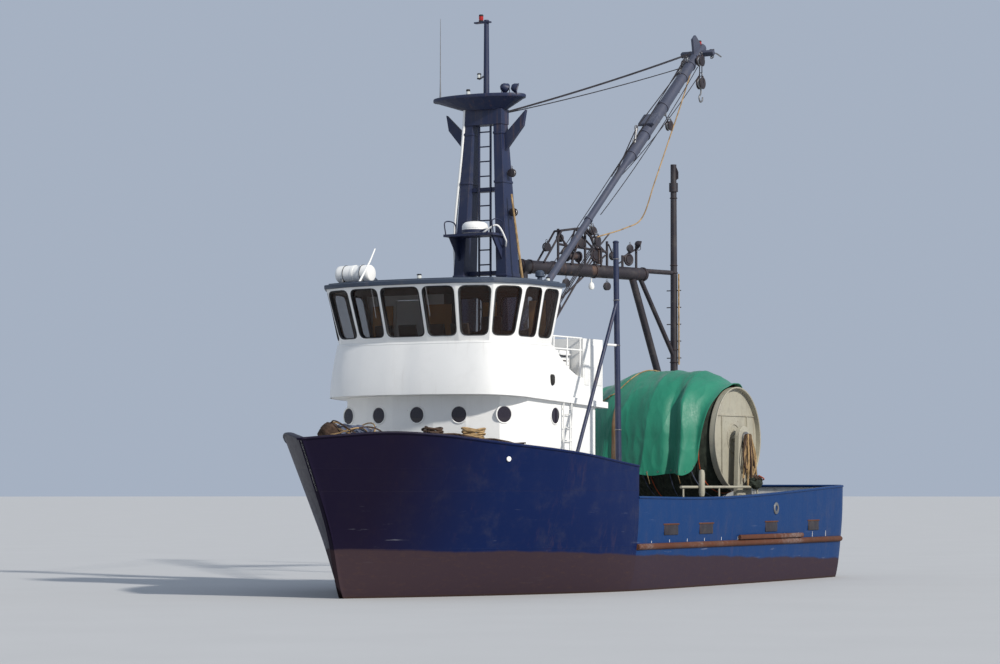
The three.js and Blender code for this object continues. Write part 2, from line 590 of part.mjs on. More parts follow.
// Port post with its forward brace
const POST = { x: 1850, footY: 2800, topY: 2740, top: 6930, plate: 110 };
const BRACE = { x: 3550, y: 2600, meets: 5750, plate: 100 };
const STEP_BAR = { z: 4880, reach: 300 };
const sidePost = join([
  bar(vec(POST.x, POST.footY, FOREDECK + 30), vec(POST.x, POST.topY, POST.top), 62, 55),
  bar(vec(BRACE.x, BRACE.y, FOREDECK + 30), vec(POST.x, POST.topY + 20, BRACE.meets), 38, 38, 10),
  box(POST.x - POST.plate, POST.x + POST.plate, POST.footY - POST.plate, POST.footY + POST.plate,
    FOREDECK + GAP, FOREDECK + 50),
  box(BRACE.x - BRACE.plate, BRACE.x + BRACE.plate, BRACE.y - BRACE.plate, BRACE.y + BRACE.plate,
    FOREDECK + GAP, FOREDECK + 50),
  bar(vec(POST.x, POST.topY + 30, STEP_BAR.z), vec(POST.x + STEP_BAR.reach, POST.topY + 5, STEP_BAR.z),
    25, 25, 8),
]);

// Net reel, drawn about its own shaft

// The bearing's flats stand just outside the shaft's corners.
const SHAFT = { radius: 75, half: 1790, hole: 75.9, core: 230, sides: 24 };
// Each flange ends in a rim that stands out past its face.
const REEL_END = REEL.half + REEL.lip;
const netReel = turnedY([
  [0, -SHAFT.half], [SHAFT.radius, -SHAFT.half], [SHAFT.radius, -REEL.half],
  [REEL.radius - REEL.rim, -REEL.half], [REEL.radius - REEL.rim, -REEL_END],
  [REEL.radius, -REEL_END], [REEL.radius, -REEL.half + REEL.flange],
  [SHAFT.core, -REEL.half + REEL.flange], [SHAFT.core, REEL.half - REEL.flange],
  [REEL.radius, REEL.half - REEL.flange], [REEL.radius, REEL_END],
  [REEL.radius - REEL.rim, REEL_END], [REEL.radius - REEL.rim, REEL.half],
  [SHAFT.radius, REEL.half], [SHAFT.radius, SHAFT.half], [0, SHAFT.half],
], SHAFT.sides);
// Half the wound net's profile: place along the shaft, radius
const netEnd = REEL.half - REEL.flange - GAP;
const NET_ROWS = [[netEnd, 1120], [1150, 1330], [750, 1450], [300, 1500]];
// The net's outline, grown by a distance all round.
function netOutline(grown) {
  const rows = NET_ROWS.map(([y, radius], i) => [radius + grown, i === 0 ? y + grown : y]);
  const inner = SHAFT.core + GAP;
  return [
    [inner, -rows[0][1]], ...rows.map(([r, y]) => [r, -y]), ...rows.slice().reverse(),
    [inner, rows[0][1]], [inner, -rows[0][1]],
  ];
}
const woundNet = turnedY(netOutline(0), SHAFT.sides);

// The tarp lies over the net and hangs in front and behind. Rows across: y, inner radius before it
// is cut to the net, front hem from the shaft, back hem above the shaft.
const TARP_ROWS = [
  [-1640, 1170, -780, 300], [-1440, 1170, -800, 250], [-1150, 1320, -790, 200], [-750, 1440, -790, 150],
  [-300, 1490, -780, 150], [300, 1490, -780, 150], [750, 1440, -790, 150], [1150, 1320, -800, 200],
  [1440, 1170, -700, 300], [1600, 1170, -500, 350],
];
const TARP_THICK = 60;
const ARC_STEPS = 10;
function tarpRing([y, radius, front, back]) {
  const line = (r) => {
    const arc = Array.from({ length: ARC_STEPS + 1 }, (_, i) => {
      const turn = (i / ARC_STEPS) * Math.PI;
      return vec(r * Math.cos(turn), y, r * Math.sin(turn));
    });
    const rearTurn = Math.PI - Math.asin(Math.min(back / r, 0.9));
    const kept = arc.filter((p, i) => (i / ARC_STEPS) * Math.PI < rearTurn - 0.01);
    while (kept.length < ARC_STEPS + 1) {
      kept.push(vec(r * Math.cos(rearTurn), y, r * Math.sin(rearTurn)));
    }
    return [vec(r, y, front), ...kept];
  };
  return { outer: line(radius + TARP_THICK), inner: line(radius).reverse() };
}

function spacedRing(points, count) {
  const lengths = [0];
  for (let i = 1; i < points.length; i++) lengths.push(lengths[i - 1] + points[i].distanceTo(points[i - 1]));
  const total = lengths[lengths.length - 1];
  return Array.from({ length: count }, (_, k) => {
    const goal = (total * k) / (count - 1);
    let i = 1;
    while (i < points.length - 1 && lengths[i] < goal) i++;
    const share = (goal - lengths[i - 1]) / Math.max(lengths[i] - lengths[i - 1], 1e-6);
    return points[i - 1].clone().lerp(points[i], Math.min(Math.max(share, 0), 1));
  });
}
const TARP_POINTS = 14;
const tarp = body(TARP_ROWS.map((row) => {
  const { outer, inner } = tarpRing(row);
  return [...spacedRing(outer, TARP_POINTS), ...spacedRing(inner, TARP_POINTS)];
})).subtract(turnedY(netOutline(GAP), SHAFT.sides)).subtract(turnedY([
  [0, -REEL_END - GAP], [REEL.radius + GAP, -REEL_END - GAP],
  [REEL.radius + GAP, REEL_END + GAP], [0, REEL_END + GAP],
], SHAFT.sides));

const STAND = { inner: 1660, outer: 1770, half: 280, foot: 420 };
const reelStand = (side) => {
  const top = Array.from({ length: 9 }, (_, i) => {
    const turn = (i / 8) * Math.PI;
    return [REEL.x + STAND.half * Math.cos(turn), REEL.z + STAND.half * Math.sin(turn)];
  });
  const plate = platesXZ([
    [REEL.x - STAND.foot, WORKDECK + GAP], [REEL.x + STAND.foot, WORKDECK + GAP], ...top,
  ], side * STAND.inner, side * STAND.outer);
  const hole = bar(
    vec(REEL.x, side * (STAND.inner - 100), REEL.z), vec(REEL.x, side * (STAND.outer + 100), REEL.z),
    SHAFT.hole, SHAFT.hole, SHAFT.sides);
  return plate.subtract(hole);
};

// Trawl winch, windlass, hatch

const DRUM = { inner: 260, outer: 900, rim: 30, shaft: 60, stub: 20 - GAP };
const DRUM_LONG = DRUM.outer - DRUM.inner;
const winchDrum = turnedY([
  [0, -DRUM.stub], [DRUM.shaft, -DRUM.stub], [DRUM.shaft, 0], [WINCH.flange, 0], [WINCH.flange, DRUM.rim],
  [WINCH.core, DRUM.rim], [WINCH.core, DRUM_LONG - DRUM.rim], [WINCH.flange, DRUM_LONG - DRUM.rim],
  [WINCH.flange, DRUM_LONG], [DRUM.shaft, DRUM_LONG],
  [DRUM.shaft, DRUM_LONG + DRUM.stub], [0, DRUM_LONG + DRUM.stub],
], 20);
const cheek = (y) => platesXZ([
  [WINCH.x - 380, WORKDECK + 20], [WINCH.x + 380, WORKDECK + 20],
  [WINCH.x + 130, WINCH.z + 140], [WINCH.x - 130, WINCH.z + 140],
], y - 25, y + 25);
const CHEEKS = [-945, -215, 215, 945];
const winchFrame = join([
  box(WINCH.x - 480, WINCH.x + 480, -1000, 1000, WORKDECK + GAP, WORKDECK + 60),
  box(WINCH.x - 150, WINCH.x + 150, -220, 220, WINCH.z - 150, WINCH.z + 150),
  ...CHEEKS.map(cheek),
]);

const windlassFrame = join([
  box(WINDLASS.x - 260, WINDLASS.x + 260, -420, 420, FOREDECK + GAP, FOREDECK + 50),
  box(WINDLASS.x - 170, WINDLASS.x + 170, -60, 60, FOREDECK + 40, WINDLASS.z + 170),
  ...[-400, 360].map((y) => platesXZ([
    [WINDLASS.x - 150, FOREDECK + 40], [WINDLASS.x + 150, FOREDECK + 40],
    [WINDLASS.x + 80, WINDLASS.z + 90], [WINDLASS.x - 80, WINDLASS.z + 90],
  ], y, y + 40)),
]);
// The windlass drum runs from the middle post to the port cheek on short stubs.
const windlassDrum = turnedY([
  [0, -DRUM.stub], [50, -DRUM.stub], [50, 0], [190, 0], [190, 30], [110, 60], [110, 200], [190, 230],
  [190, 260], [50, 260], [50, 260 + DRUM.stub], [0, 260 + DRUM.stub],
], 20);

const hatchCoaming = box(
  HATCH.aft, HATCH.fore, -HATCH.half, HATCH.half, WORKDECK + GAP, WORKDECK + HATCH.height)
  .subtract(box(HATCH.aft + HATCH.wall, HATCH.fore - HATCH.wall, -HATCH.half + HATCH.wall,
    HATCH.half - HATCH.wall, 500, 2000));
const hatchLid = join([
  box(HATCH.aft - 30, HATCH.fore + 30, -HATCH.half - 30, HATCH.half + 30,
    WORKDECK + HATCH.height + GAP, WORKDECK + HATCH.height + HATCH.lid),
  bar(vec(HATCH.fore + 40, -500, WORKDECK + HATCH.height + 40),
    vec(HATCH.fore + 40, 500, WORKDECK + HATCH.height + 40), 30),
]);

// Life raft canister in its cradle on the roof, and the bow bitt

const RAFT = { x: 4600, y: -1650, radius: 170, half: 400, z: ROOF.under + ROOF.edge + ROOF.crown + 200 };
const lifeRaft = join([
  bar(vec(RAFT.x, RAFT.y - RAFT.half, RAFT.z), vec(RAFT.x, RAFT.y + RAFT.half, RAFT.z),
    RAFT.radius, RAFT.radius, 16),
  ...[-260, 200].map((y) => box(
    RAFT.x - 150, RAFT.x + 150, RAFT.y + y, RAFT.y + y + 60, ROOF.under + ROOF.edge, RAFT.z - 90)),
]).subtract(roof.translate([0, 0, GAP]));
const BITT = { x: at(2700), apart: 150, top: FOREDECK + 620, half: 330, cross: FOREDECK + 440 };
const bowBitt = join([
  ...[-BITT.apart, BITT.apart].map((y) => bar(vec(BITT.x, y, FOREDECK + GAP), vec(BITT.x, y, BITT.top), 80)),
  bar(vec(BITT.x, -BITT.half, BITT.cross), vec(BITT.x, BITT.half, BITT.cross), 45),
]);

// Rudder and screw, each drawn about its own axis

const rudder = join([
  platesXZ([
    [170, RUDDER.top + 10], [-640, RUDDER.top + 90], [-700, RUDDER.foot], [200, RUDDER.foot],
  ], -35, 35),
  bar(vec(0, 0, -2330 + GAP), vec(0, 0, -840 - GAP), 60),
]);
const BLADE_ROWS = [
  // radius, half chord, pitch angle in degrees
  [90, 120, 62], [300, 200, 42], [480, 190, 31], [SCREW.radius, 60, 26],
];
function blade(turn) {
  const rings = BLADE_ROWS.map(([radius, chord, pitch]) => {
    const [c, s] = [Math.cos(radians(pitch)), Math.sin(radians(pitch))];
    return [[-chord, 0], [0, -14], [chord, 0], [0, 14]].map(([u, w]) => {
      const point = vec(u * s + w * c, u * c - w * s, radius);
      return point.applyAxisAngle(vec(1, 0, 0), turn);
    });
  });
  return body(rings);
}
const screw = join([
  bar(vec(-HUB.aft, 0, 0), vec(HUB.fore, 0, 0), 80, 115, 16),
  ...[0, 1, 2, 3].map((i) => blade((i * Math.PI) / 2)),
]);

// The scene graph

const trawler = new THREE.Group();
trawler.name = 'fishing_trawler';

function add(name, shape, finish, parent = trawler) {
  const [color, roughness, metalness] = FINISH[finish];
  const geometry = shape.isBufferGeometry ? shape : toGeometry(shape);
  const mesh = new THREE.Mesh(geometry, new THREE.MeshStandardMaterial({ color, roughness, metalness }));
  mesh.name = name;
  parent.add(mesh);
  return mesh;
}

add('hull', hull, 'blue');
add('bulwark_forward', bulwarkForward, 'navy');
add('bulwark_aft', bulwarkAft, 'blue');
add('deckhouse_walls', deckhouseWalls, 'white');
add('boat_deck', boatDeck, 'white');
add('pilothouse_band', pilothouseBand, 'white');
add('pilothouse_window_wall', windowWall, 'white');
add('pilothouse_roof', roof, 'roof');
add('helm_console', helmConsole, 'console');
add('vent_casing', ventCasing, 'white');
add('landing_steps', landing, 'deck');
for (const [side, name] of [[1, 'port'], [-1, 'starboard']]) {
  add(`wing_screen_${name}`, screen(side), 'white');
  add(`locker_${name}`, locker(side), 'white');
  add(`mast_leg_${name}`, mastLeg(side), 'mast');
  add(`reel_stand_${name}`, reelStand(side), 'beige');
}
add('mast_head', mastHead, 'mast');
add('mast_ladder', join([ladder, ...ties]), 'mast');
add('radar_platform', radarPlatform, 'mast');
add('radome', radome, 'white').position.set(RADAR.dome, 0, RADAR.z + RADAR.depth + GAP);
add('boom_step', boomStep, 'mast');
add('gantry_beam', gantryBeam, 'dark');
add('gantry_arm', gantryArm, 'dark');
add('gantry_post', gantryPost, 'dark');
add('gantry_strut_upper', gantryStrut(STRUTS.upper), 'dark');
add('gantry_strut_lower', gantryStrut(STRUTS.lower), 'dark');
add('aft_pole', aftPole, 'dark');
add('side_post', sidePost, 'mast');
add('winch_frame', winchFrame, 'dark');
add('windlass_frame', windlassFrame, 'steel');
add('hatch_coaming', hatchCoaming, 'steel');
add('life_raft', lifeRaft, 'white');
add('bow_bitt', bowBitt, 'dark');

add('hatch_lid', hatchLid, 'steel');
add('deckhouse_door', doorLeaf(HOUSE_DOOR, at(HOUSE_AFT)), 'rust');
add('pilothouse_door', doorLeaf(CABIN_DOOR, at(CABIN_AFT)), 'white');

add('boom_swivel', boomSwivel, 'dark').position.set(LUFF.x, 0, LUFF.z);
const derrick = new THREE.Group();
derrick.position.set(LUFF.x, 0, LUFF.z);
derrick.rotation.set(0, radians(LUFF.rise) - Math.PI, 0);
trawler.add(derrick);
add('boom', boom, 'dark', derrick);

const reel = new THREE.Group();
reel.position.set(REEL.x, 0, REEL.z);
trawler.add(reel);
add('net_reel', netReel, 'beige', reel);
add('wound_net', woundNet, 'net', reel);
add('tarp', tarp, 'tarp', reel);

add('winch_drum_port', winchDrum, 'steel').position.set(WINCH.x, DRUM.inner, WINCH.z);
add('winch_drum_starboard', winchDrum, 'steel').position.set(WINCH.x, -DRUM.outer, WINCH.z);
add('windlass_drum', windlassDrum, 'steel').position.set(WINDLASS.x, 80, WINDLASS.z);
add('rudder', rudder, 'antifouling').position.set(RUDDER.x, 0, 0);
add('propeller', screw, 'bronze').position.set(SCREW.x, 0, SCREW.z);

export default trawler;
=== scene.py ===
"""Dresses a packed house-forward fishing trawler: smooth plating, glass, rigging, gear, cloth and finishes.

Everything is in metres, +X forward, +Y to port, +Z up. The origin is amidships at the waterline."""
import math

import bmesh
import bpy
import numpy as np
from bpy.props import FloatProperty, FloatVectorProperty, PointerProperty
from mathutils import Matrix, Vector


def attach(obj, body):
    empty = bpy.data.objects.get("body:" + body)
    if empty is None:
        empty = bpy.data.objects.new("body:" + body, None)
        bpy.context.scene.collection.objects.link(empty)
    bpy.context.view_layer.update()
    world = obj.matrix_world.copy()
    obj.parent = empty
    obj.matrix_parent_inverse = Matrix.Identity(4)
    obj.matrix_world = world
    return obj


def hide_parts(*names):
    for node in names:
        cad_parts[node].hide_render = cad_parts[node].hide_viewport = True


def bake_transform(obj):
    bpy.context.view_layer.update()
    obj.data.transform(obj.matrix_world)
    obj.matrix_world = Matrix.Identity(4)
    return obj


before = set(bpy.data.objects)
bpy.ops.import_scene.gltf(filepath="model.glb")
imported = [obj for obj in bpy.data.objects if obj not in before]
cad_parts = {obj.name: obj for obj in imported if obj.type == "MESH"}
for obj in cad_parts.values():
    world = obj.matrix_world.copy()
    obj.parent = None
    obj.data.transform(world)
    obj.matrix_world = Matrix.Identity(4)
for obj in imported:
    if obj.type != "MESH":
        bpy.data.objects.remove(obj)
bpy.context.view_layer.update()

bl_info = {
    "name": "Fishing trawler",
    "version": (1, 0, 0),
    "blender": (4, 5, 0),
    "location": "3D View > Sidebar > Trawler",
    "description": "Builds the looks of a house-forward fishing trawler around its solids",
    "category": "Object",
}

X, Y, Z = np.eye(3)
TO_STARBOARD = np.array([1, -1, 1])
LENGTH = 17.7
CAMBER = 0.03
# A hair's breadth over a deck, so that a foot's underside doesn't share the deck's plane
LIFT = 0.0003


def at(aft):
    """Place along X of a point that far aft of the stem head."""
    return LENGTH / 2 - aft


# Hull levels from the rail down: where each starts aft of the stem head, half breadth amidships and
# at the transom, the length in which the bow fills out to it, and how full that bow is.
LEVELS = np.array([
    [0.0, 3.10, 2.93, 6.0, 2.1],
    [0.9, 3.06, 2.89, 6.2, 1.85],
    [1.35, 2.90, 2.72, 6.5, 1.6],
    [2.1, 2.56, 2.38, 7.0, 1.4],
    [2.9, 0.0, 0.0, 1.0, 1.0],
])
# Height of each level, as rows of aft and height
HEIGHTS = [
    [[0, 2.97], [0.5, 3.03], [1.2, 3.09], [2, 3.05], [3, 2.93], [5, 2.74], [7.3, 2.5], [17.7, 2.3]],
    [[0, 1.33], [6, 1.15], [17.7, 1.2]],
    [[0, 0], [17.7, 0]],
    [[2.1, -0.56], [6, -0.76], [12.5, -0.76], [17.7, -0.25]],
    [[2.9, -1.18], [6, -1.5], [10.5, -1.56], [14, -1.08], [17.7, -0.42]],
]
AFT_RAIL = [[7.3, 1.88], [10, 1.85], [17.7, 2.1]]
BREAK = 7.3
FOREDECK, WORKDECK = 2.0, 0.95
STEM_BAR = 0.045
BOAT_DECK = {"front": (5.34, 3.97), "aft": (1.5, 3.79)}
SILL, EAVES = 4.87, 5.96
CABIN_AFT, HOUSE_AFT = 3.25, 1.5
# Half plans from the centre of the front to port: start aft of the stem, rows of length and degrees
FRONTS = {
    "house": (3.8, [[0.47, 0], [0.68, 10], [0.66, 20], [0.62, 60]]),
    "band": (3.51, [[0.47, 0], [0.71, 6], [0.64, 17], [0.5, 52], [0.75, 88]]),
    "sill": (3.6, [[0.47, 0], [0.665, 6], [0.6, 16], [0.54, 52], [0.72, 88]]),
    "eaves": (3.27, [[0.48, 0], [0.76, 7], [0.745, 22], [0.7, 58], [0.65, 88]]),
}
MAST_X, MAST_FOOT, MAST_TOP = 2.3, 3.83, 9.4
LUFF = np.array([1.75, 0, 4.78])
RISE = math.radians(39.4)
REEL = np.array([-5.9, 0, 3.14])
REEL_RADIUS, REEL_HALF, STAND_Y = 1.15, 1.5, 1.715
# The tarp's ends along the reel, and how far across it may reach between the stands
TARP_STARBOARD, TARP_PORT, TARP_REACH = -1.64, 1.6, 1.63
POLE = np.array([-8.4, -1.3, 0])
# The gantry's beam runs from over its post towards the pole: places along it are plan distances from the pole
GANTRY = {"foot": (-3.8, -2.72), "z": 7.035, "radius": 0.15, "near": 0.97, "far": 4.96, "post": 4.814}
WINCH = np.array([0.15, 0, 1.62])
WIRE_PITCH = 0.014
BITTS_AFT = 2.7
HATCH = {"fore": -1.85, "aft": -3.45, "half": 0.85}
# The photo's viewpoint (place, degrees of heading and pitch, lens in mm) and its light, a hazy sun
CAMERA = {"place": (51.71, 30.01, 2.15), "heading": 31, "pitch": 3.02, "lens": 102.96}
SUN = {"towards": (0.26, 0.95, 0.6), "power": 3.6, "spread": 3.0, "tint": (1.0, 0.95, 0.87)}


def srgb(code):
    """Linear colour of a 0xRRGGBB code."""
    parts = [((code >> shift) & 255) / 255 for shift in (16, 8, 0)]
    return tuple(p / 12.92 if p < 0.04045 else ((p + 0.055) / 1.055) ** 2.4 for p in parts)


def colour(name, code, description):
    return FloatVectorProperty(name=name, description=description, default=srgb(code), subtype="COLOR",
                               size=3, min=0.0, max=1.0)


def length(name, value, description):
    return FloatProperty(name=name, description=description, default=value, min=0.0, unit="LENGTH")


class TrawlerSizes(bpy.types.PropertyGroup):
    """Sizes that shape the dressed pieces"""
    plate_wall: length("Bulwark wall", 0.07, "Thickness of the bulwark")
    cap_width: length("Rail cap width", 0.15, "Width of the cap along the bulwark's top")
    cap_depth: length("Rail cap depth", 0.06, "Depth of the cap along the bulwark's top")
    house_wall: length("House wall", 0.09, "Thickness of the pilothouse walls")
    pane: length("Pane", 0.012, "Thickness of the window glass")
    port_radius: length("Porthole radius", 0.162, "Radius of a porthole's glass")
    wire: length("Wire radius", 0.011, "Radius of the standing wires")
    rope: length("Rope radius", 0.015, "Radius of the ropes")
    cloth: length("Tarp cloth", 0.012, "Thickness of the tarp")
    fold: length("Tarp fold", 0.085, "Depth of the tarp's hanging folds")


class TrawlerColours(bpy.types.PropertyGroup):
    """Colours of the finishes"""
    navy: colour("Bow blue", 0x0e1f4a, "Topside paint forward of the break")
    blue: colour("Aft blue", 0x143768, "Topside paint aft of the break")
    bottom: colour("Bottom", 0x3b2d28, "Bottom paint under the waterline")
    white: colour("White", 0xf0f0ee, "House paint")
    roof: colour("Roof", 0x3a4658, "Pilothouse roof edge")
    mast: colour("Mast", 0x1b2646, "Mast, platforms and posts")
    gear: colour("Gear", 0x28242c, "Boom, gantry and winch frames")
    deck: colour("Deck", 0x6a6e70, "Deck paint")
    steel: colour("Steel", 0x8f9092, "Bare and galvanised steel")
    bronze: colour("Bronze", 0x8e6f3c, "Propeller")
    reel: colour("Reel", 0xa8a494, "Net reel and its stands")
    net: colour("Net", 0x2a3328, "Trawl net twine")
    tarp: colour("Tarp", 0x0a745a, "Tarp cloth")
    door: colour("Door", 0x8a5236, "Deckhouse door")
    rust: colour("Rust", 0x5d3522, "Rust and its runs")
    rope_tan: colour("Tan rope", 0xb5966a, "Manila and tan ropes")
    rope_brown: colour("Brown rope", 0x4c3729, "Old brown ropes")
    boom: colour("Boom", 0x454a5c, "The boom's weathered paint")
    rope_blue: colour("Blue rope", 0x59627a, "Blue ropes and net heaps")
    orange: colour("Orange", 0xc2562a, "Blocks, floats and buoys")
    rubber: colour("Rubber", 0x17171a, "Gaskets and fenders")
    wood: colour("Wood", 0x8b6b48, "Pen boards and steps")
    panel: colour("Panel", 0xd8a060, "Panelling of the pilothouse's aft wall")
    console: colour("Console", 0x5a5048, "Trim inside the pilothouse")


# Tables and curves


def cubic(a, b, slope_a, slope_b, t):
    """The cubic from a to b with those slopes at its ends, at t from 0 to 1."""
    return (a * (1 + 2 * t) * (1 - t) ** 2 + slope_a * t * (1 - t) ** 2
            + b * t * t * (3 - 2 * t) + slope_b * t * t * (t - 1))


def on_curve(rows, x):
    """Smooth value of a table at x: cubic pieces through the rows, with slopes from their neighbours."""
    px, py = np.array(rows, float).T
    slope = np.gradient(py, px) if len(px) > 2 else np.full(len(px), (py[-1] - py[0]) / (px[-1] - px[0]))
    i = np.clip(np.searchsorted(px, x) - 1, 0, len(px) - 2)
    h = px[i + 1] - px[i]
    t = np.clip((x - px[i]) / h, 0, 1)
    return cubic(py[i], py[i + 1], slope[i] * h, slope[i + 1] * h, t)


def spline(points, count):
    """A smooth path of count points: cubic pieces through the given points, slopes from neighbours."""
    points = np.array(points, float)
    slope = np.gradient(points, axis=0)
    place = np.linspace(0, len(points) - 1, count)
    i = np.clip(place.astype(int), 0, len(points) - 2)
    t = (place - i)[:, None]
    return cubic(points[i], points[i + 1], slope[i], slope[i + 1], t)


def unit(v):
    return v / np.maximum(np.linalg.norm(v, axis=-1, keepdims=True), 1e-9)


def wave(seed, *places):
    """A smooth uneven value between about -1 and 1: a sum of six turned sines of the places."""
    rng = np.random.default_rng(seed)
    total = 0
    for octave in range(6):
        turn = rng.uniform(-1, 1, len(places)) * (1 + octave * 0.7)
        total = total + np.sin(sum(k * p for k, p in zip(turn, places))
                               + rng.uniform(0, 6.28)) / (1 + octave * 0.6)
    return total / 2.6


# Forms: each is a dict of points, faces and uv, which piece() turns into a mesh


def grid(points, around=False, ends=False, size=(1.0, 1.0)):
    """Faces between neighbouring rows and columns of a grid of points. `around` joins the last column
    to the first, `ends` closes the first and last rows; size scales the UV map's two directions."""
    n, m = points.shape[:2]
    cols = m if around else m - 1
    i, j = (a.ravel() for a in np.meshgrid(np.arange(n - 1), np.arange(cols), indexing="ij"))
    k = (j + 1) % m
    faces = np.stack([i * m + j, i * m + k, (i + 1) * m + k, (i + 1) * m + j], 1).tolist()
    u0, u1, v0, v1 = i / (n - 1), (i + 1) / (n - 1), j / cols, (j + 1) / cols
    uv = np.stack([u0, v0, u0, v1, u1, v1, u1, v0], 1).reshape(-1, 2) * size
    if ends:
        faces += [list(range(m))[::-1], list(range((n - 1) * m, n * m))]
        uv = np.concatenate([uv, np.zeros((2 * m, 2))])
    return {"points": points.reshape(-1, 3), "faces": faces, "uv": uv}


def wall_form(outer, inner):
    """A wall between two matching grids of points: rings of outer and inner rows, each end closed on
    the line midway between them."""
    ring = np.concatenate([outer, inner[:, ::-1]], 1)
    middle = (outer[[0, -1]] + inner[[0, -1]]) / 2
    caps = np.concatenate([middle, middle[:, ::-1]], 1)
    return grid(np.concatenate([caps[:1], ring, caps[1:]]), around=True)


def axes_of(path):
    """Unit tangent of a path and two directions across it, steady along the path: the first is the
    tangent crossed with the world axis that it follows least."""
    tangent = unit(np.gradient(path, axis=0))
    steady = np.eye(3)[np.abs(tangent).max(0).argmin()]
    across = unit(np.cross(tangent, steady))
    return tangent, across, np.cross(across, tangent)


def tube(path, radius, sides=10, flat=1.0):
    """A bar along a path: point = path + radius (cos a across + flat sin a up)."""
    path = np.array(path, float)
    _, across, up = axes_of(path)
    a = np.linspace(0, 2 * np.pi, sides, endpoint=False)
    r = np.broadcast_to(np.asarray(radius, float), (len(path),))[:, None, None]
    ring = across[:, None] * np.cos(a)[None, :, None] + up[:, None] * np.sin(a)[None, :, None] * flat
    run = np.linalg.norm(np.diff(path, axis=0), axis=1).sum()
    return grid(path[:, None] + r * ring, around=True, ends=True, size=(run, 1))


def pipe(points, radius, sides=10, bends=6):
    """A tube on a smooth path through a few points."""
    return tube(spline(points, (len(points) - 1) * bends + 1), radius, sides)


def turned(profile, foot, axis=Z, sides=28):
    """Profile rows of radius and height turned about an axis through foot."""
    r, h = np.array(profile, float).T
    axis = unit(np.array(axis, float))
    steady = X if abs(axis[0]) < 0.7 else Y
    u = unit(np.cross(axis, steady))
    v = np.cross(axis, u)
    a = np.linspace(0, 2 * np.pi, sides, endpoint=False)
    ring = np.cos(a)[:, None] * u + np.sin(a)[:, None] * v
    points = np.array(foot, float) + r[:, None, None] * ring + h[:, None, None] * axis
    return grid(points, around=True, size=(1, 1))


def rod(radius, low, high):
    """Profile of a plain round bar."""
    return [[0, low], [radius, low], [radius, high], [0, high]]


def band(inner, outer, low, high):
    """Profile of a ring of square section."""
    return [[inner, low], [outer, low], [outer, high], [inner, high], [inner, low]]


def hoop(foot, axis, radius, thick, sides=32, around=10):
    """A ring of round bar about an axis: a circle turned about it."""
    a = np.linspace(0, 2 * np.pi, around + 1)
    return turned(np.stack([radius + thick * np.cos(a), thick * np.sin(a)], 1), foot, axis, sides)


def slab(low, high, soft=0.008, steps=2):
    """A box with rounded edges: an inner box's corner plus soft times the unit sphere's direction,
    over longitude and latitude with the quarter turns repeated."""
    low, high = np.minimum(low, high).astype(float), np.maximum(low, high).astype(float)
    soft = min(soft, *((high - low) / 2.01))
    centre, half = (low + high) / 2, (high - low) / 2 - soft
    quarter = np.linspace(0, np.pi / 2, steps + 1)
    lon = np.concatenate([q * np.pi / 2 + quarter for q in range(4)])
    sign_x = np.repeat([1, -1, -1, 1], steps + 1)
    sign_y = np.repeat([1, 1, -1, -1], steps + 1)
    lat = np.concatenate([quarter - np.pi / 2, quarter])
    sign_z = np.repeat([-1, 1], steps + 1)
    ball = np.stack([np.cos(lat)[:, None] * np.cos(lon), np.cos(lat)[:, None] * np.sin(lon),
                     np.broadcast_to(np.sin(lat)[:, None], (len(lat), len(lon)))], -1)
    corner = np.stack([np.broadcast_to(s, (len(lat), len(lon))) for s in
                       (sign_x[None, :], sign_y[None, :], sign_z[:, None])], -1)
    return grid(centre + corner * half + soft * ball, around=True, ends=True)


def moved(form, turn=np.eye(3), shift=(0, 0, 0), about=(0, 0, 0)):
    """The form turned by a matrix about a point, then shifted."""
    about = np.array(about, float)
    return {**form, "points": (form["points"] - about) @ np.asarray(turn).T + about + np.array(shift, float)}


def turn_about(axis, degrees):
    """Matrix of a turn about an axis."""
    x, y, z = unit(np.array(axis, float))
    c, s = math.cos(math.radians(degrees)), math.sin(math.radians(degrees))
    cross = np.array([[0, -z, y], [z, 0, -x], [-y, x, 0]])
    return np.eye(3) * c + s * cross + (1 - c) * np.outer([x, y, z], [x, y, z])


def inset(outline, distance):
    """A closed outline of [x, y] rows drawn in along each corner's mitre, whichever way it runs."""
    after = np.roll(outline, -1, 0)
    way = np.sign((outline[:, 0] * after[:, 1] - outline[:, 1] * after[:, 0]).sum())
    run = unit(after - outline)
    before = np.roll(run, 1, 0)
    n1 = np.stack([-before[:, 1], before[:, 0]], 1)
    n2 = np.stack([-run[:, 1], run[:, 0]], 1)
    mitre = unit(n1 + n2)
    return outline + mitre * (way * distance / (mitre * n1).sum(1))[:, None]


def rounded(outline, radius, steps=5):
    """A closed outline with every corner replaced by a curve that leaves each edge at radius."""
    outline = np.array(outline, float)
    before, after = np.roll(outline, 1, 0) - outline, np.roll(outline, -1, 0) - outline
    reach = [np.minimum(radius, np.linalg.norm(e, axis=1) * 0.499)[:, None] for e in (before, after)]
    start, end = outline + unit(before) * reach[0], outline + unit(after) * reach[1]
    t = np.linspace(0, 1, steps)[None, :, None]
    curve = start[:, None] * (1 - t) ** 2 + 2 * outline[:, None] * t * (1 - t) + end[:, None] * t * t
    return curve.reshape(-1, 2)


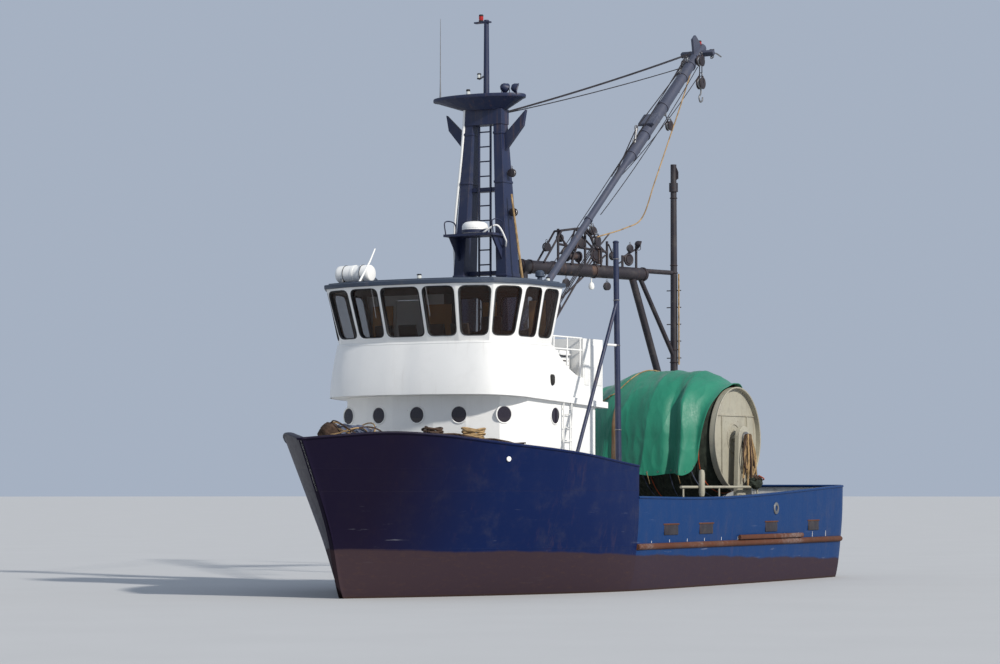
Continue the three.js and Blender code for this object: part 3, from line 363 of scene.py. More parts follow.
def plate(outline, low, high, plane="xz", edge=0.006):
    """A flat plate with eased edges: the outline carried from low to high across its plane."""
    outline = np.array(outline, float)
    small = inset(outline, edge)
    order = {"xz": (0, 2, 1), "yz": (1, 2, 0), "xy": (0, 1, 2)}[plane]
    low, high = sorted((low, high))
    edge = min(edge, (high - low) / 2.01)
    rings = []
    for flat, level in ((small, low), (outline, low + edge), (outline, high - edge), (small, high)):
        ring = np.zeros((len(outline), 3))
        ring[:, order[0]], ring[:, order[1]], ring[:, order[2]] = flat[:, 0], flat[:, 1], level
        rings.append(ring)
    return grid(np.array(rings), around=True, ends=True)


def moulding(path, profile, closed=False):
    """A section of [inward, up] rows carried along a level path, mitred at its corners."""
    path = np.array(path, float)
    ahead = np.roll(path, -1, 0) - path
    if not closed:
        ahead[-1] = ahead[-2]
    behind = np.roll(ahead, 1, 0)
    if not closed:
        behind[0] = ahead[0]
    normals = [unit(np.stack([-e[:, 1], e[:, 0], 0 * e[:, 0]], 1)) for e in (behind, ahead)]
    across = (normals[0] + normals[1]) / np.maximum(1 + (normals[0] * normals[1]).sum(1), 0.3)[:, None]
    profile = np.array(profile, float)
    points = path[:, None] + across[:, None] * profile[None, :, :1] + Z * profile[None, :, 1:]
    if closed:
        points = np.concatenate([points, points[:1]])
    return grid(points, around=True, ends=not closed)


def oval(width, depth, count=12, middle=(0, 0), square=2.6):
    """A rounded section as [inward, up] rows: a superellipse."""
    a = np.linspace(0, 2 * np.pi, count, endpoint=False)
    c, s = np.cos(a), np.sin(a)
    return np.stack([middle[0] + width / 2 * np.sign(c) * np.abs(c) ** (2 / square),
                     middle[1] + depth / 2 * np.sign(s) * np.abs(s) ** (2 / square)], 1)


def bolts(places, axis, radius=0.018, height=0.012):
    """Round bolt heads at places along an axis."""
    profile = [[0, 0], [radius, 0], [radius, height * 0.6], [radius * 0.6, height], [0, height]]
    return [turned(profile, place, axis, 8) for place in places]


# Shader trees


class Tree:
    """Adds and links nodes of one tree, from left to right."""

    def __init__(self, tree):
        self.tree, self.column = tree, 0

    def add(self, kind, inputs=None, **settings):
        node = self.tree.nodes.new(kind)
        self.column += 1
        node.location = (self.column * 170, -(self.column % 4) * 160)
        for key, value in settings.items():
            setattr(node, key, value)
        for key, value in (inputs or {}).items():
            self.link(value, node, key)
        return node

    def link(self, value, node, key):
        """Sets a node's input, or joins it to another node's output."""
        if isinstance(value, bpy.types.NodeSocket):
            self.tree.links.new(value, node.inputs[key])
        else:
            node.inputs[key].default_value = value

    def math(self, operation, a, b=0.0, clamp=False):
        return self.add("ShaderNodeMath", {0: a, 1: b}, operation=operation, use_clamp=clamp).outputs[0]

    def times(self, a, b, clamp=False):
        return self.math("MULTIPLY", a, b, clamp)

    def plus(self, a, b, clamp=False):
        return self.math("ADD", a, b, clamp)

    def minus(self, a, b):
        return self.math("SUBTRACT", a, b)

    def mix(self, share, a, b, blend="MIX"):
        node = self.add("ShaderNodeMix", {0: share, 6: a, 7: b}, data_type="RGBA", blend_type=blend)
        return node.outputs[2]

    def ramp(self, value, low, high, to=(0.0, 1.0)):
        node = self.add("ShaderNodeMapRange", {0: value, 1: low, 2: high, 3: to[0], 4: to[1]},
                        interpolation_type="SMOOTHSTEP")
        return node.outputs[0]

    def off_seam(self, value, shift, pitch):
        """How far a place is from the nearest of evenly spaced seams, as a share of their pitch."""
        share = self.math("FRACT", self.math("DIVIDE", self.plus(value, shift), pitch))
        return self.math("ABSOLUTE", self.minus(share, 0.5))

    def noise(self, vector, scale, detail=3.0, rough=0.55):
        node = self.add("ShaderNodeTexNoise", {"Vector": vector, "Scale": scale, "Detail": detail,
                                               "Roughness": rough})
        return node.outputs["Fac"]

    def stretched(self, vector, scale, turn=(0, 0, 0)):
        return self.add("ShaderNodeMapping", {"Vector": vector, "Scale": scale, "Rotation": turn}).outputs[0]

    def place(self):
        return self.add("ShaderNodeTexCoord").outputs["Object"]

    def group(self, name, inputs):
        return self.add("ShaderNodeGroup", inputs, node_tree=bpy.data.node_groups[name]).outputs


def rgba(value, shade=1.0):
    """An opaque colour, darkened by a shade below one."""
    return (*(shade * part for part in value[:3]), 1.0)


def new_group(name, inputs, outputs):
    """A shader node group with named sockets; each input is a name, a kind and a default."""
    group = bpy.data.node_groups.new(name, "ShaderNodeTree")
    for label, kind, default in inputs:
        socket = group.interface.new_socket(name=label, in_out="INPUT", socket_type=f"NodeSocket{kind}")
        socket.default_value = default
    for label, kind in outputs:
        group.interface.new_socket(name=label, in_out="OUTPUT", socket_type=f"NodeSocket{kind}")
    tree = Tree(group)
    entry = group.nodes.new("NodeGroupInput").outputs
    exit_node = group.nodes.new("NodeGroupOutput")
    return tree, entry, lambda name_, value: group.links.new(value, exit_node.inputs[name_])


def paint_age():
    """Shared effect: paint with an uneven tone, runs, dirt, and chips down to what lies beneath."""
    tree, given, put = new_group("Paint age", [("Paint", "Color", (0.8, 0.8, 0.8, 1)),
                                               ("Under", "Color", (0.2, 0.1, 0.06, 1)),
                                               ("Tone", "Float", 0.2), ("Chips", "Float", 0.2),
                                               ("Runs", "Float", 0.3), ("Dirt", "Float", 0.3),
                                               ("Roughness", "Float", 0.5), ("Edge", "Float", 0.01)],
                                 [("Color", "Color"), ("Roughness", "Float"), ("Height", "Float"),
                                  ("Worn", "Float"), ("Normal", "Vector")])
    place = tree.place()
    broad = tree.noise(place, 0.7, 4)
    fine = tree.noise(place, 14, 5, 0.65)
    tone = tree.times(tree.minus(broad, 0.5), given["Tone"])
    tone = tree.plus(tone, tree.times(tree.minus(fine, 0.5), tree.times(given["Tone"], 0.5)))
    dark = tree.mix(1.0, given["Paint"], (0.42, 0.40, 0.38, 1), "MULTIPLY")
    light = tree.mix(0.35, given["Paint"], (0.85, 0.86, 0.88, 1))
    paint = tree.mix(tree.ramp(tone, 0.0, -0.35), given["Paint"], dark)
    paint = tree.mix(tree.ramp(tone, 0.0, 0.4), paint, light)
    streaky = tree.noise(tree.stretched(place, (5.5, 5.5, 0.35)), 1.7, 5, 0.6)
    patch = tree.ramp(tree.noise(place, 0.9, 2), 0.42, 0.66)
    runs = tree.times(tree.ramp(streaky, 0.52, 0.78), patch)
    runs = tree.times(runs, given["Runs"], True)
    run_colour = tree.mix(0.55, given["Under"], (0.28, 0.17, 0.1, 1))
    paint = tree.mix(runs, paint, run_colour)
    grime = tree.times(tree.ramp(tree.noise(place, 2.3, 6, 0.7), 0.46, 0.8), given["Dirt"], True)
    paint = tree.mix(grime, paint, (0.11, 0.1, 0.09, 1))
    rounded_edge = tree.add("ShaderNodeBevel", {"Radius": given["Edge"]}, samples=4).outputs[0]
    true_face = tree.add("ShaderNodeNewGeometry").outputs["True Normal"]
    meet = tree.add("ShaderNodeVectorMath", {0: rounded_edge, 1: true_face},
                    operation="DOT_PRODUCT").outputs["Value"]
    edge = tree.ramp(tree.plus(meet, tree.times(fine, 0.25)), 1.06, 0.86)
    specks = tree.noise(place, 31, 3, 0.7)
    level = tree.minus(0.86, tree.times(given["Chips"], 0.22))
    chips = tree.ramp(tree.times(specks, tree.plus(tree.times(broad, 0.7), 0.72)),
                      level, tree.plus(level, 0.03))
    chips = tree.math("MAXIMUM", chips, tree.times(edge, given["Chips"]), True)
    put("Color", tree.mix(chips, paint, given["Under"]))
    rough = tree.plus(given["Roughness"], tree.times(tree.minus(fine, 0.45), 0.35))
    rough = tree.plus(rough, tree.times(tree.plus(chips, grime), 0.25), True)
    put("Roughness", rough)
    put("Height", tree.minus(tree.times(fine, 0.3), tree.times(chips, 0.6)))
    put("Worn", chips)
    put("Normal", rounded_edge)


def plate_bays():
    """Shared effect: plating that dents between its frames, with welded seams."""
    tree, given, put = new_group("Plating", [("Bay", "Float", 0.55), ("Dents", "Float", 1.0)],
                                 [("Height", "Float"), ("Seam", "Float")])
    split = tree.add("ShaderNodeSeparateXYZ", {0: tree.place()}).outputs
    bay = tree.math("SINE", tree.math("DIVIDE", tree.times(split["X"], 6.2832), given["Bay"]))
    uneven = tree.noise(tree.place(), 0.8, 2)
    dents = tree.times(tree.times(bay, uneven), given["Dents"])
    long_seam = tree.off_seam(split["X"], 40.3, 2.4)
    level_seam = tree.off_seam(split["Z"], 10.35, 1.5)
    seam = tree.math("MAXIMUM", tree.ramp(long_seam, 0.006, 0.0025), tree.ramp(level_seam, 0.008, 0.0035))
    put("Height", tree.plus(tree.times(dents, 0.8), tree.times(seam, 0.5)))
    put("Seam", seam)


def rope_lay():
    """Shared effect: strands twisted along a rope's own map, and a painted shade for the grooves between
    them.
    """
    tree, given, put = new_group("Rope lay", [("Strands", "Float", 3.0), ("Pitch", "Float", 0.12)],
                                 [("Height", "Float"), ("Shade", "Float")])
    split = tree.add("ShaderNodeSeparateXYZ", {0: tree.add("ShaderNodeTexCoord").outputs["UV"]}).outputs
    turn = tree.plus(tree.math("DIVIDE", split["X"], given["Pitch"]),
                     tree.times(split["Y"], given["Strands"]))
    lay = tree.math("ABSOLUTE", tree.math("SINE", tree.times(turn, 3.1416)))
    put("Height", lay)
    # Painted shade: a share that is low in the grooves between the strands
    put("Shade", tree.ramp(lay, 0.0, 0.55, (0.35, 1.0)))


def cloth_weave():
    """Shared effect: warp and weft threads."""
    tree, given, put = new_group("Cloth weave", [("Threads", "Float", 220.0)],
                                 [("Height", "Float"), ("Mask", "Float")])
    split = tree.add("ShaderNodeSeparateXYZ", {0: tree.add("ShaderNodeTexCoord").outputs["UV"]}).outputs
    warp = tree.math("SINE", tree.times(split["X"], given["Threads"]))
    weft = tree.math("SINE", tree.times(split["Y"], given["Threads"]))
    weave = tree.times(warp, weft)
    put("Height", weave)
    put("Mask", tree.ramp(weave, -1.0, 1.0))


def shaded(name):
    """A new material, its tree and its Principled shader."""
    material = bpy.data.materials.new(name)
    material.use_nodes = True
    material.node_tree.nodes.clear()
    tree = Tree(material.node_tree)
    shader = tree.add("ShaderNodeBsdfPrincipled")
    output = tree.add("ShaderNodeOutputMaterial", {0: shader.outputs[0]})
    output.location = (3200, 0)
    shader.location = (2900, 0)
    return material, tree, shader


def bump(tree, shader, height, distance, strength=1.0, normal=None):
    inputs = {"Height": height, "Distance": distance, "Strength": strength}
    if normal is not None:
        inputs["Normal"] = normal
    node = tree.add("ShaderNodeBump", inputs)
    tree.link(node.outputs[0], shader, "Normal")


# Painted finishes: colour, colour beneath, roughness, metal, tone, chips, runs, dirt, edge, coat
PAINTS = {
    "white_paint": ("white", "rust", 0.4, 0.0, 0.07, 0.04, 0.13, 0.06, 0.008, 0.1),
    "roof_paint": ("roof", "steel", 0.45, 0.1, 0.3, 0.35, 0.25, 0.3, 0.01, 0.0),
    "mast_paint": ("mast", "rust", 0.5, 0.0, 0.15, 0.3, 0.4, 0.3, 0.012, 0.0),
    "boom_paint": ("boom", "rust", 0.5, 0.1, 0.5, 0.35, 0.4, 0.3, 0.01, 0.0),
    "gear_paint": ("gear", "rust", 0.55, 0.1, 0.3, 0.7, 0.7, 0.4, 0.012, 0.0),
    "deck_paint": ("deck", "rust", 0.75, 0.0, 0.8, 0.7, 0.3, 0.7, 0.01, 0.0),
    "bulwark_inside": ("white", "rust", 0.55, 0.0, 0.5, 0.5, 0.8, 0.5, 0.01, 0.0),
    "bare_steel": ("steel", "rust", 0.42, 0.85, 0.6, 0.55, 0.5, 0.5, 0.008, 0.0),
    "bronze": ("bronze", "bronze", 0.35, 0.9, 0.5, 0.3, 0.2, 0.4, 0.008, 0.0),
    "reel_paint": ("reel", "rust", 0.6, 0.1, 0.5, 0.55, 0.75, 0.4, 0.01, 0.0),
    "door_rust": ("door", "rust", 0.65, 0.0, 0.6, 0.6, 0.6, 0.4, 0.01, 0.0),
    "console_trim": ("console", "console", 0.6, 0.0, 0.3, 0.1, 0.0, 0.2, 0.006, 0.0),
    "panel_wood": ("panel", "wood", 0.5, 0.0, 0.5, 0.05, 0.0, 0.2, 0.006, 0.0),
    "black_rubber": ("rubber", "rubber", 0.75, 0.0, 0.5, 0.1, 0.0, 0.4, 0.006, 0.0),
    "rust_steel": ("rust", "rust", 0.85, 0.2, 0.9, 0.5, 0.3, 0.4, 0.01, 0.0),
    "wood": ("wood", "wood", 0.75, 0.0, 0.9, 0.4, 0.5, 0.5, 0.006, 0.0),
}
ROPES = {"tan_rope": "rope_tan", "blue_rope": "rope_blue", "wire_rope": "gear", "net_twine": "net",
         "orange_rope": "orange", "brown_rope": "rope_brown"}
# Plain finishes of small parts: colour code, roughness, metal, glow
SMALL = {"red_lens": (0x9c1a14, 0.15, 0.0, 0.15), "clear_lens": (0xd9dcd8, 0.08, 0.1, 0.0),
         "dark_screen": (0x0c1014, 0.1, 0.0, 0.0)}


def painted(name, colours, row):
    """Paint over metal that has aged: tone, runs, dirt and chipped edges from the shared group."""
    paint, under, rough, metal, tone, chips, runs, dirt, edge, coat = row
    material, tree, shader = shaded(name)
    out = tree.group("Paint age", {
        "Paint": rgba(getattr(colours, paint)), "Under": rgba(getattr(colours, under)), "Tone": tone,
        "Chips": chips, "Runs": runs, "Dirt": dirt, "Roughness": rough, "Edge": edge})
    tree.link(out["Color"], shader, "Base Color")
    tree.link(out["Roughness"], shader, "Roughness")
    tree.link(metal, shader, "Metallic")
    tree.link(coat, shader, "Coat Weight")
    tree.link(0.2, shader, "Coat Roughness")
    bump(tree, shader, out["Height"], 0.004, 0.35, out["Normal"])
    return material


def hull_paint(name, colours, paint):
    """Topside paint with plate seams and faint scuffs, a dark fouled band under the boot line, which
    climbs towards the bow, and bottom paint; on the navy the bow is darkened to a deep maroon towards the
    stem, a painted shade of the bow's flare."""
    material, tree, shader = shaded(name)
    place = tree.place()
    split = tree.add("ShaderNodeSeparateXYZ", {0: place}).outputs
    out = tree.group("Paint age", {
        "Paint": rgba(getattr(colours, paint)), "Under": rgba(colours.rust), "Tone": 0.1, "Chips": 0.12,
        "Runs": 0.12, "Dirt": 0.14, "Roughness": 0.42, "Edge": 0.012})
    plating = tree.group("Plating", {"Bay": 0.6, "Dents": 1.0})
    boot_rise, boot_height, wander = 0.03, 0.69, 0.16
    boot = tree.minus(split["Z"], tree.plus(tree.times(split["X"], boot_rise), boot_height))
    uneven = tree.minus(tree.noise(tree.stretched(place, (0.8, 0.8, 0.3)), 1.3, 5), 0.5)
    ragged = tree.plus(boot, tree.times(uneven, wander))
    belt = tree.ramp(ragged, 0.025, -0.03)
    scuffs = tree.noise(tree.stretched(place, (0.5, 0.5, 7.0), (0, 0.25, 0)), 2.2, 4, 0.6)
    scuffs = tree.times(tree.ramp(scuffs, 0.66, 0.72), tree.ramp(ragged, 1.2, 0.0))
    body = out["Color"]
    # Painted shade: the navy bow is darkened towards the stem to a deep maroon, standing for the shaded flare
    # of the bow
    if paint == "navy":
        body = tree.mix(tree.ramp(split["X"], 5.2, 7.6, (0.0, 0.85)), body, rgba(srgb(0x170c1a)))
    body = tree.mix(tree.times(scuffs, 0.2), body, (0.42, 0.44, 0.5, 1))
    body = tree.mix(tree.times(belt, 0.93), body, rgba(srgb(0x3c2f34)))
    slime = tree.noise(tree.stretched(place, (1, 1, 2.5)), 5, 6, 0.7)
    body = tree.mix(tree.times(belt, tree.ramp(slime, 0.5, 0.8, (0.0, 0.55))), body, rgba(srgb(0x4c3a34)))
    body = tree.mix(tree.ramp(split["Z"], 0.05, 0.01), body, rgba(colours.bottom))
    tree.link(body, shader, "Base Color")
    rough = tree.plus(out["Roughness"], tree.times(belt, 0.35), True)
    tree.link(rough, shader, "Roughness")
    tree.link(0.1, shader, "Specular IOR Level")
    total = tree.plus(tree.times(out["Height"], 0.3), plating["Height"])
    bump(tree, shader, total, 0.012, 0.38, out["Normal"])
    return material


def roped(name, colours, paint):
    """Laid rope: twisted strands along the piece's own map with painted shade in the grooves between them,
    faded and dirty in places.
    """
    material, tree, shader = shaded(name)
    lay = tree.group("Rope lay", {"Strands": 3.0, "Pitch": 0.1})
    soiled = tree.noise(tree.place(), 6, 4)
    base = rgba(getattr(colours, paint))
    tone = tree.mix(tree.ramp(soiled, 0.35, 0.7), base, rgba(base, 0.45))
    # Painted shade: the rope is darkened in the grooves between its strands
    tone = tree.mix(lay["Shade"], rgba(base, 0.3), tone)
    tree.link(tone, shader, "Base Color")
    tree.link(tree.ramp(soiled, 0.2, 0.8, (0.75, 0.95)), shader, "Roughness")
    bump(tree, shader, lay["Height"], 0.004, 0.8)
    return material


def glazing(name, colour_code, alpha):
    """Tinted glass: dark, see-through in part, with smears in its gloss."""
    material, tree, shader = shaded(name)
    tree.link(rgba(srgb(colour_code)), shader, "Base Color")
    tree.link(alpha, shader, "Alpha")
    tree.link(1.5, shader, "IOR")
    smears = tree.noise(tree.stretched(tree.place(), (2, 2, 0.6)), 4, 5, 0.6)
    tree.link(tree.ramp(smears, 0.35, 0.8, (0.03, 0.14)), shader, "Roughness")
    return material


def tarp_cloth(name, colours):
    """Woven plastic cloth: one clear colour, a fine weave, soft creases and a little fading."""
    material, tree, shader = shaded(name)
    weave = tree.group("Cloth weave", {"Threads": 900.0})
    place = tree.place()
    creases = tree.noise(tree.stretched(place, (1.6, 1.6, 0.7), (0.3, 0.2, 0.5)), 1.7, 5, 0.5)
    folds = tree.math("ABSOLUTE", tree.minus(creases, 0.5))
    fine = tree.noise(place, 19, 4, 0.6)
    base = rgba(colours.tarp)
    faded = tuple(min(1, 1.15 * c + 0.012) for c in base[:3]) + (1,)
    tone = tree.mix(tree.ramp(tree.noise(place, 0.9, 3), 0.35, 0.7), base, faded)
    tone = tree.mix(tree.ramp(folds, 0.03, 0.0, (0.0, 0.25)), tone, faded)
    dirt = tree.times(tree.ramp(tree.noise(place, 1.4, 5), 0.55, 0.8), 0.16)
    tone = tree.mix(dirt, tone, rgba(srgb(0x2c4a3e)))
    tree.link(tone, shader, "Base Color")
    tree.link(tree.ramp(fine, 0.2, 0.8, (0.42, 0.6)), shader, "Roughness")
    tree.link(0.1, shader, "Sheen Weight")
    height = tree.plus(tree.times(folds, 3.0), tree.times(weave["Height"], 0.02))
    height = tree.plus(height, tree.times(fine, 0.08))
    bump(tree, shader, height, 0.02, 0.35)
    return material


def small_finish(name, row):
    """Lenses and screens: one clean colour with faint dust in its gloss."""
    code, rough, metal, glow = row
    material, tree, shader = shaded(name)
    dust = tree.noise(tree.place(), 40, 3)
    base = rgba(srgb(code))
    tree.tree.links.new(tree.mix(tree.ramp(dust, 0.55, 0.8), base, rgba(base, 0.7)),
                        shader.inputs["Base Color"])
    tree.link(tree.ramp(dust, 0.3, 0.8, (rough, rough + 0.2)), shader, "Roughness")
    tree.link(metal, shader, "Metallic")
    if glow:
        tree.link(base, shader, "Emission Color")
        tree.link(glow, shader, "Emission Strength")
    return material


FINISHES = {}
# The finish of every solid that stays in sight
NODE_FINISH = {
    "deckhouse_walls": "white_paint", "boat_deck": "white_paint", "helm_console": "console_trim",
    "vent_casing": "white_paint", "landing_steps": "deck_paint", "wing_screen_port": "white_paint",
    "wing_screen_starboard": "white_paint", "locker_port": "white_paint", "locker_starboard": "white_paint",
    "mast_leg_port": "mast_paint", "mast_leg_starboard": "mast_paint", "mast_head": "mast_paint",
    "mast_ladder": "mast_paint", "radar_platform": "mast_paint", "boom_step": "mast_paint",
    "winch_frame": "gear_paint", "windlass_frame": "bare_steel",
    "hatch_coaming": "bare_steel", "hatch_lid": "bare_steel",
    "deckhouse_door": "door_rust", "pilothouse_door": "white_paint", "boom_swivel": "gear_paint",
    "windlass_drum": "bare_steel", "rudder": "hull_blue", "propeller": "bronze",
}


def piece(name, dressed, body="vessel", stands_for=(), angle=38, ride=True, slot=None):
    """One mesh object at the origin. dressed maps each finish to the forms that wear it; doubled
    points are merged, faces turned outwards, and edges sharper than the angle kept crisp."""
    points, faces, uvs, slots, starts, start = [], [], [], [], [], 0
    mesh = bpy.data.meshes.new(name)
    for index, (finish, forms) in enumerate(dressed.items()):
        mesh.materials.append(FINISHES[finish])
        for form in forms:
            points.append(form["points"])
            faces += [[v + start for v in face] for face in form["faces"]]
            uvs.append(form["uv"])
            slots += [index] * len(form["faces"])
            starts.append(start)
            start += len(form["points"])
    mesh.from_pydata(np.concatenate(points), [], faces)
    mesh.polygons.foreach_set("material_index", slots)
    mesh.uv_layers.new(name="UVMap").data.foreach_set("uv", np.concatenate(uvs).ravel())
    tidy = bmesh.new()
    tidy.from_mesh(mesh)
    verts = list(tidy.verts)
    for low, high in zip(starts, starts[1:] + [start]):
        bmesh.ops.remove_doubles(tidy, verts=verts[low:high], dist=2e-5)
    bmesh.ops.dissolve_degenerate(tidy, edges=tidy.edges, dist=1e-6)
    bmesh.ops.recalc_face_normals(tidy, faces=tidy.faces)
    tidy.to_mesh(mesh)
    tidy.free()
    mesh.shade_smooth()
    mesh.set_sharp_from_angle(angle=math.radians(angle))
    made = bpy.data.objects.new(name, mesh)
    bpy.context.scene.collection.objects.link(made)
    if ride:
        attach(made, body)
    main = slot or next(iter(dressed))
    if stands_for:
        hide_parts(*stands_for)
    return made


# Hull


def half_breadth(level, aft):
    """Half breadth of a level: bow fullness times a width that narrows aft, rounded at the transom."""
    stem, full, stern, run, power = LEVELS[level]
    narrows_from, corner_run = 12, 0.42
    bow = 1 - (1 - np.clip((aft - stem) / run, 0, 1)) ** power
    narrow = np.maximum((aft - narrows_from) / (LENGTH - narrows_from), 0)
    corner = np.clip((aft - (LENGTH - corner_run)) / corner_run, 0, 1)
    return bow * (full + (stern - full) * narrow ** 2) * (1 - 0.06 * (1 - np.sqrt(1 - corner ** 2)))


def level_lines(share, fore):
    """The five level lines at each share of the fore or aft body: an array of share, level, xyz."""
    lines = []
    for level in range(5):
        start = LEVELS[level][0] if fore else BREAK
        end = BREAK if fore else LENGTH
        aft = start + (end - start) * share
        half = half_breadth(level, aft) if level < 4 else 0 * aft
        half = np.maximum(half, STEM_BAR) if level < 4 else half
        lines.append(np.stack([at(aft), half, on_curve(HEIGHTS[level], aft)], 1))
    return np.stack(lines[::-1], 1)


def on_side(lines, g):
    """Points of the side at girth g, from 0 at the keel to 4 at the rail: cubic through the levels."""
    slope = np.gradient(lines, axis=1)
    slope[:, 1] = (lines[:, 2] - lines[:, 0]) * 0.42
    i = np.clip(g.astype(int), 0, 3)
    t = (g - i)[..., None]
    row = np.arange(len(lines))[:, None]
    return cubic(lines[row, i], lines[row, i + 1], slope[row, i], slope[row, i + 1], t)


def girth_at(lines, height):
    """The girth at which each station's side reaches a height."""
    g = np.linspace(0, 4, 241)
    z = on_side(lines, np.broadcast_to(g, (len(lines), len(g))))[..., 2]
    i = np.clip((z < np.asarray(height)[..., None]).sum(1), 1, len(g) - 1)
    row = np.arange(len(lines))
    share = (height - z[row, i - 1]) / np.maximum(z[row, i] - z[row, i - 1], 1e-6)
    return g[i - 1] + np.clip(share, 0, 1) * (g[1] - g[0])


def body_form(fore, count, deck, girth_rows=44, deck_rows=14):
    """A solid half of the hull: girth from keel to deck edge, then the cambered deck, mirrored."""
    share = np.linspace(0, 1, count) ** (1.25 if fore else 1.0)
    lines = level_lines(share, fore)
    top = girth_at(lines, np.full(count, deck))
    side = on_side(lines, top[:, None] * np.linspace(0, 1, girth_rows)[None, :])
    across = np.linspace(1, 0, deck_rows + 1)[None, 1:, None]
    edge = side[:, -1:, :]
    flat = edge * np.array([1, 0, 1]) + edge * np.array([0, 1, 0]) * across
    flat[..., 2] += CAMBER * (1 - across[..., 0] ** 2) * np.minimum(edge[..., 1] / 3, 1)
    return np.concatenate([side, flat], 1)


def mirrored(port):
    """Port columns from the keel's line up and over to the centre, then the same mirrored back."""
    other = port[:, ::-1] * TO_STARBOARD
    return np.concatenate([port, other[:, 1:-1]], 1)


def both_sides(port, between=None):
    """Rows of the port side, any rows between, then the port rows mirrored in reverse."""
    return np.concatenate([port, *([] if between is None else [between]), port[::-1] * TO_STARBOARD])


def rail_points(afts, heights):
    """Rail edge points on the port side at the given stations."""
    return np.stack([at(afts), np.maximum(half_breadth(0, afts), STEM_BAR), heights], 1)


def side_point(aft, height):
    """One point of the port side, with its outward direction."""
    lines = level_lines(np.linspace(0, 1, 200), aft < BREAK)
    spots = on_side(lines, girth_at(lines, np.full(200, height))[:, None])[:, 0]
    i = int(np.abs(spots[:, 0] - at(aft)).argmin())
    i = min(max(i, 1), 198)
    run = unit(spots[i - 1] - spots[i + 1])
    return spots[i], unit(np.array([-run[1], run[0], 0]))


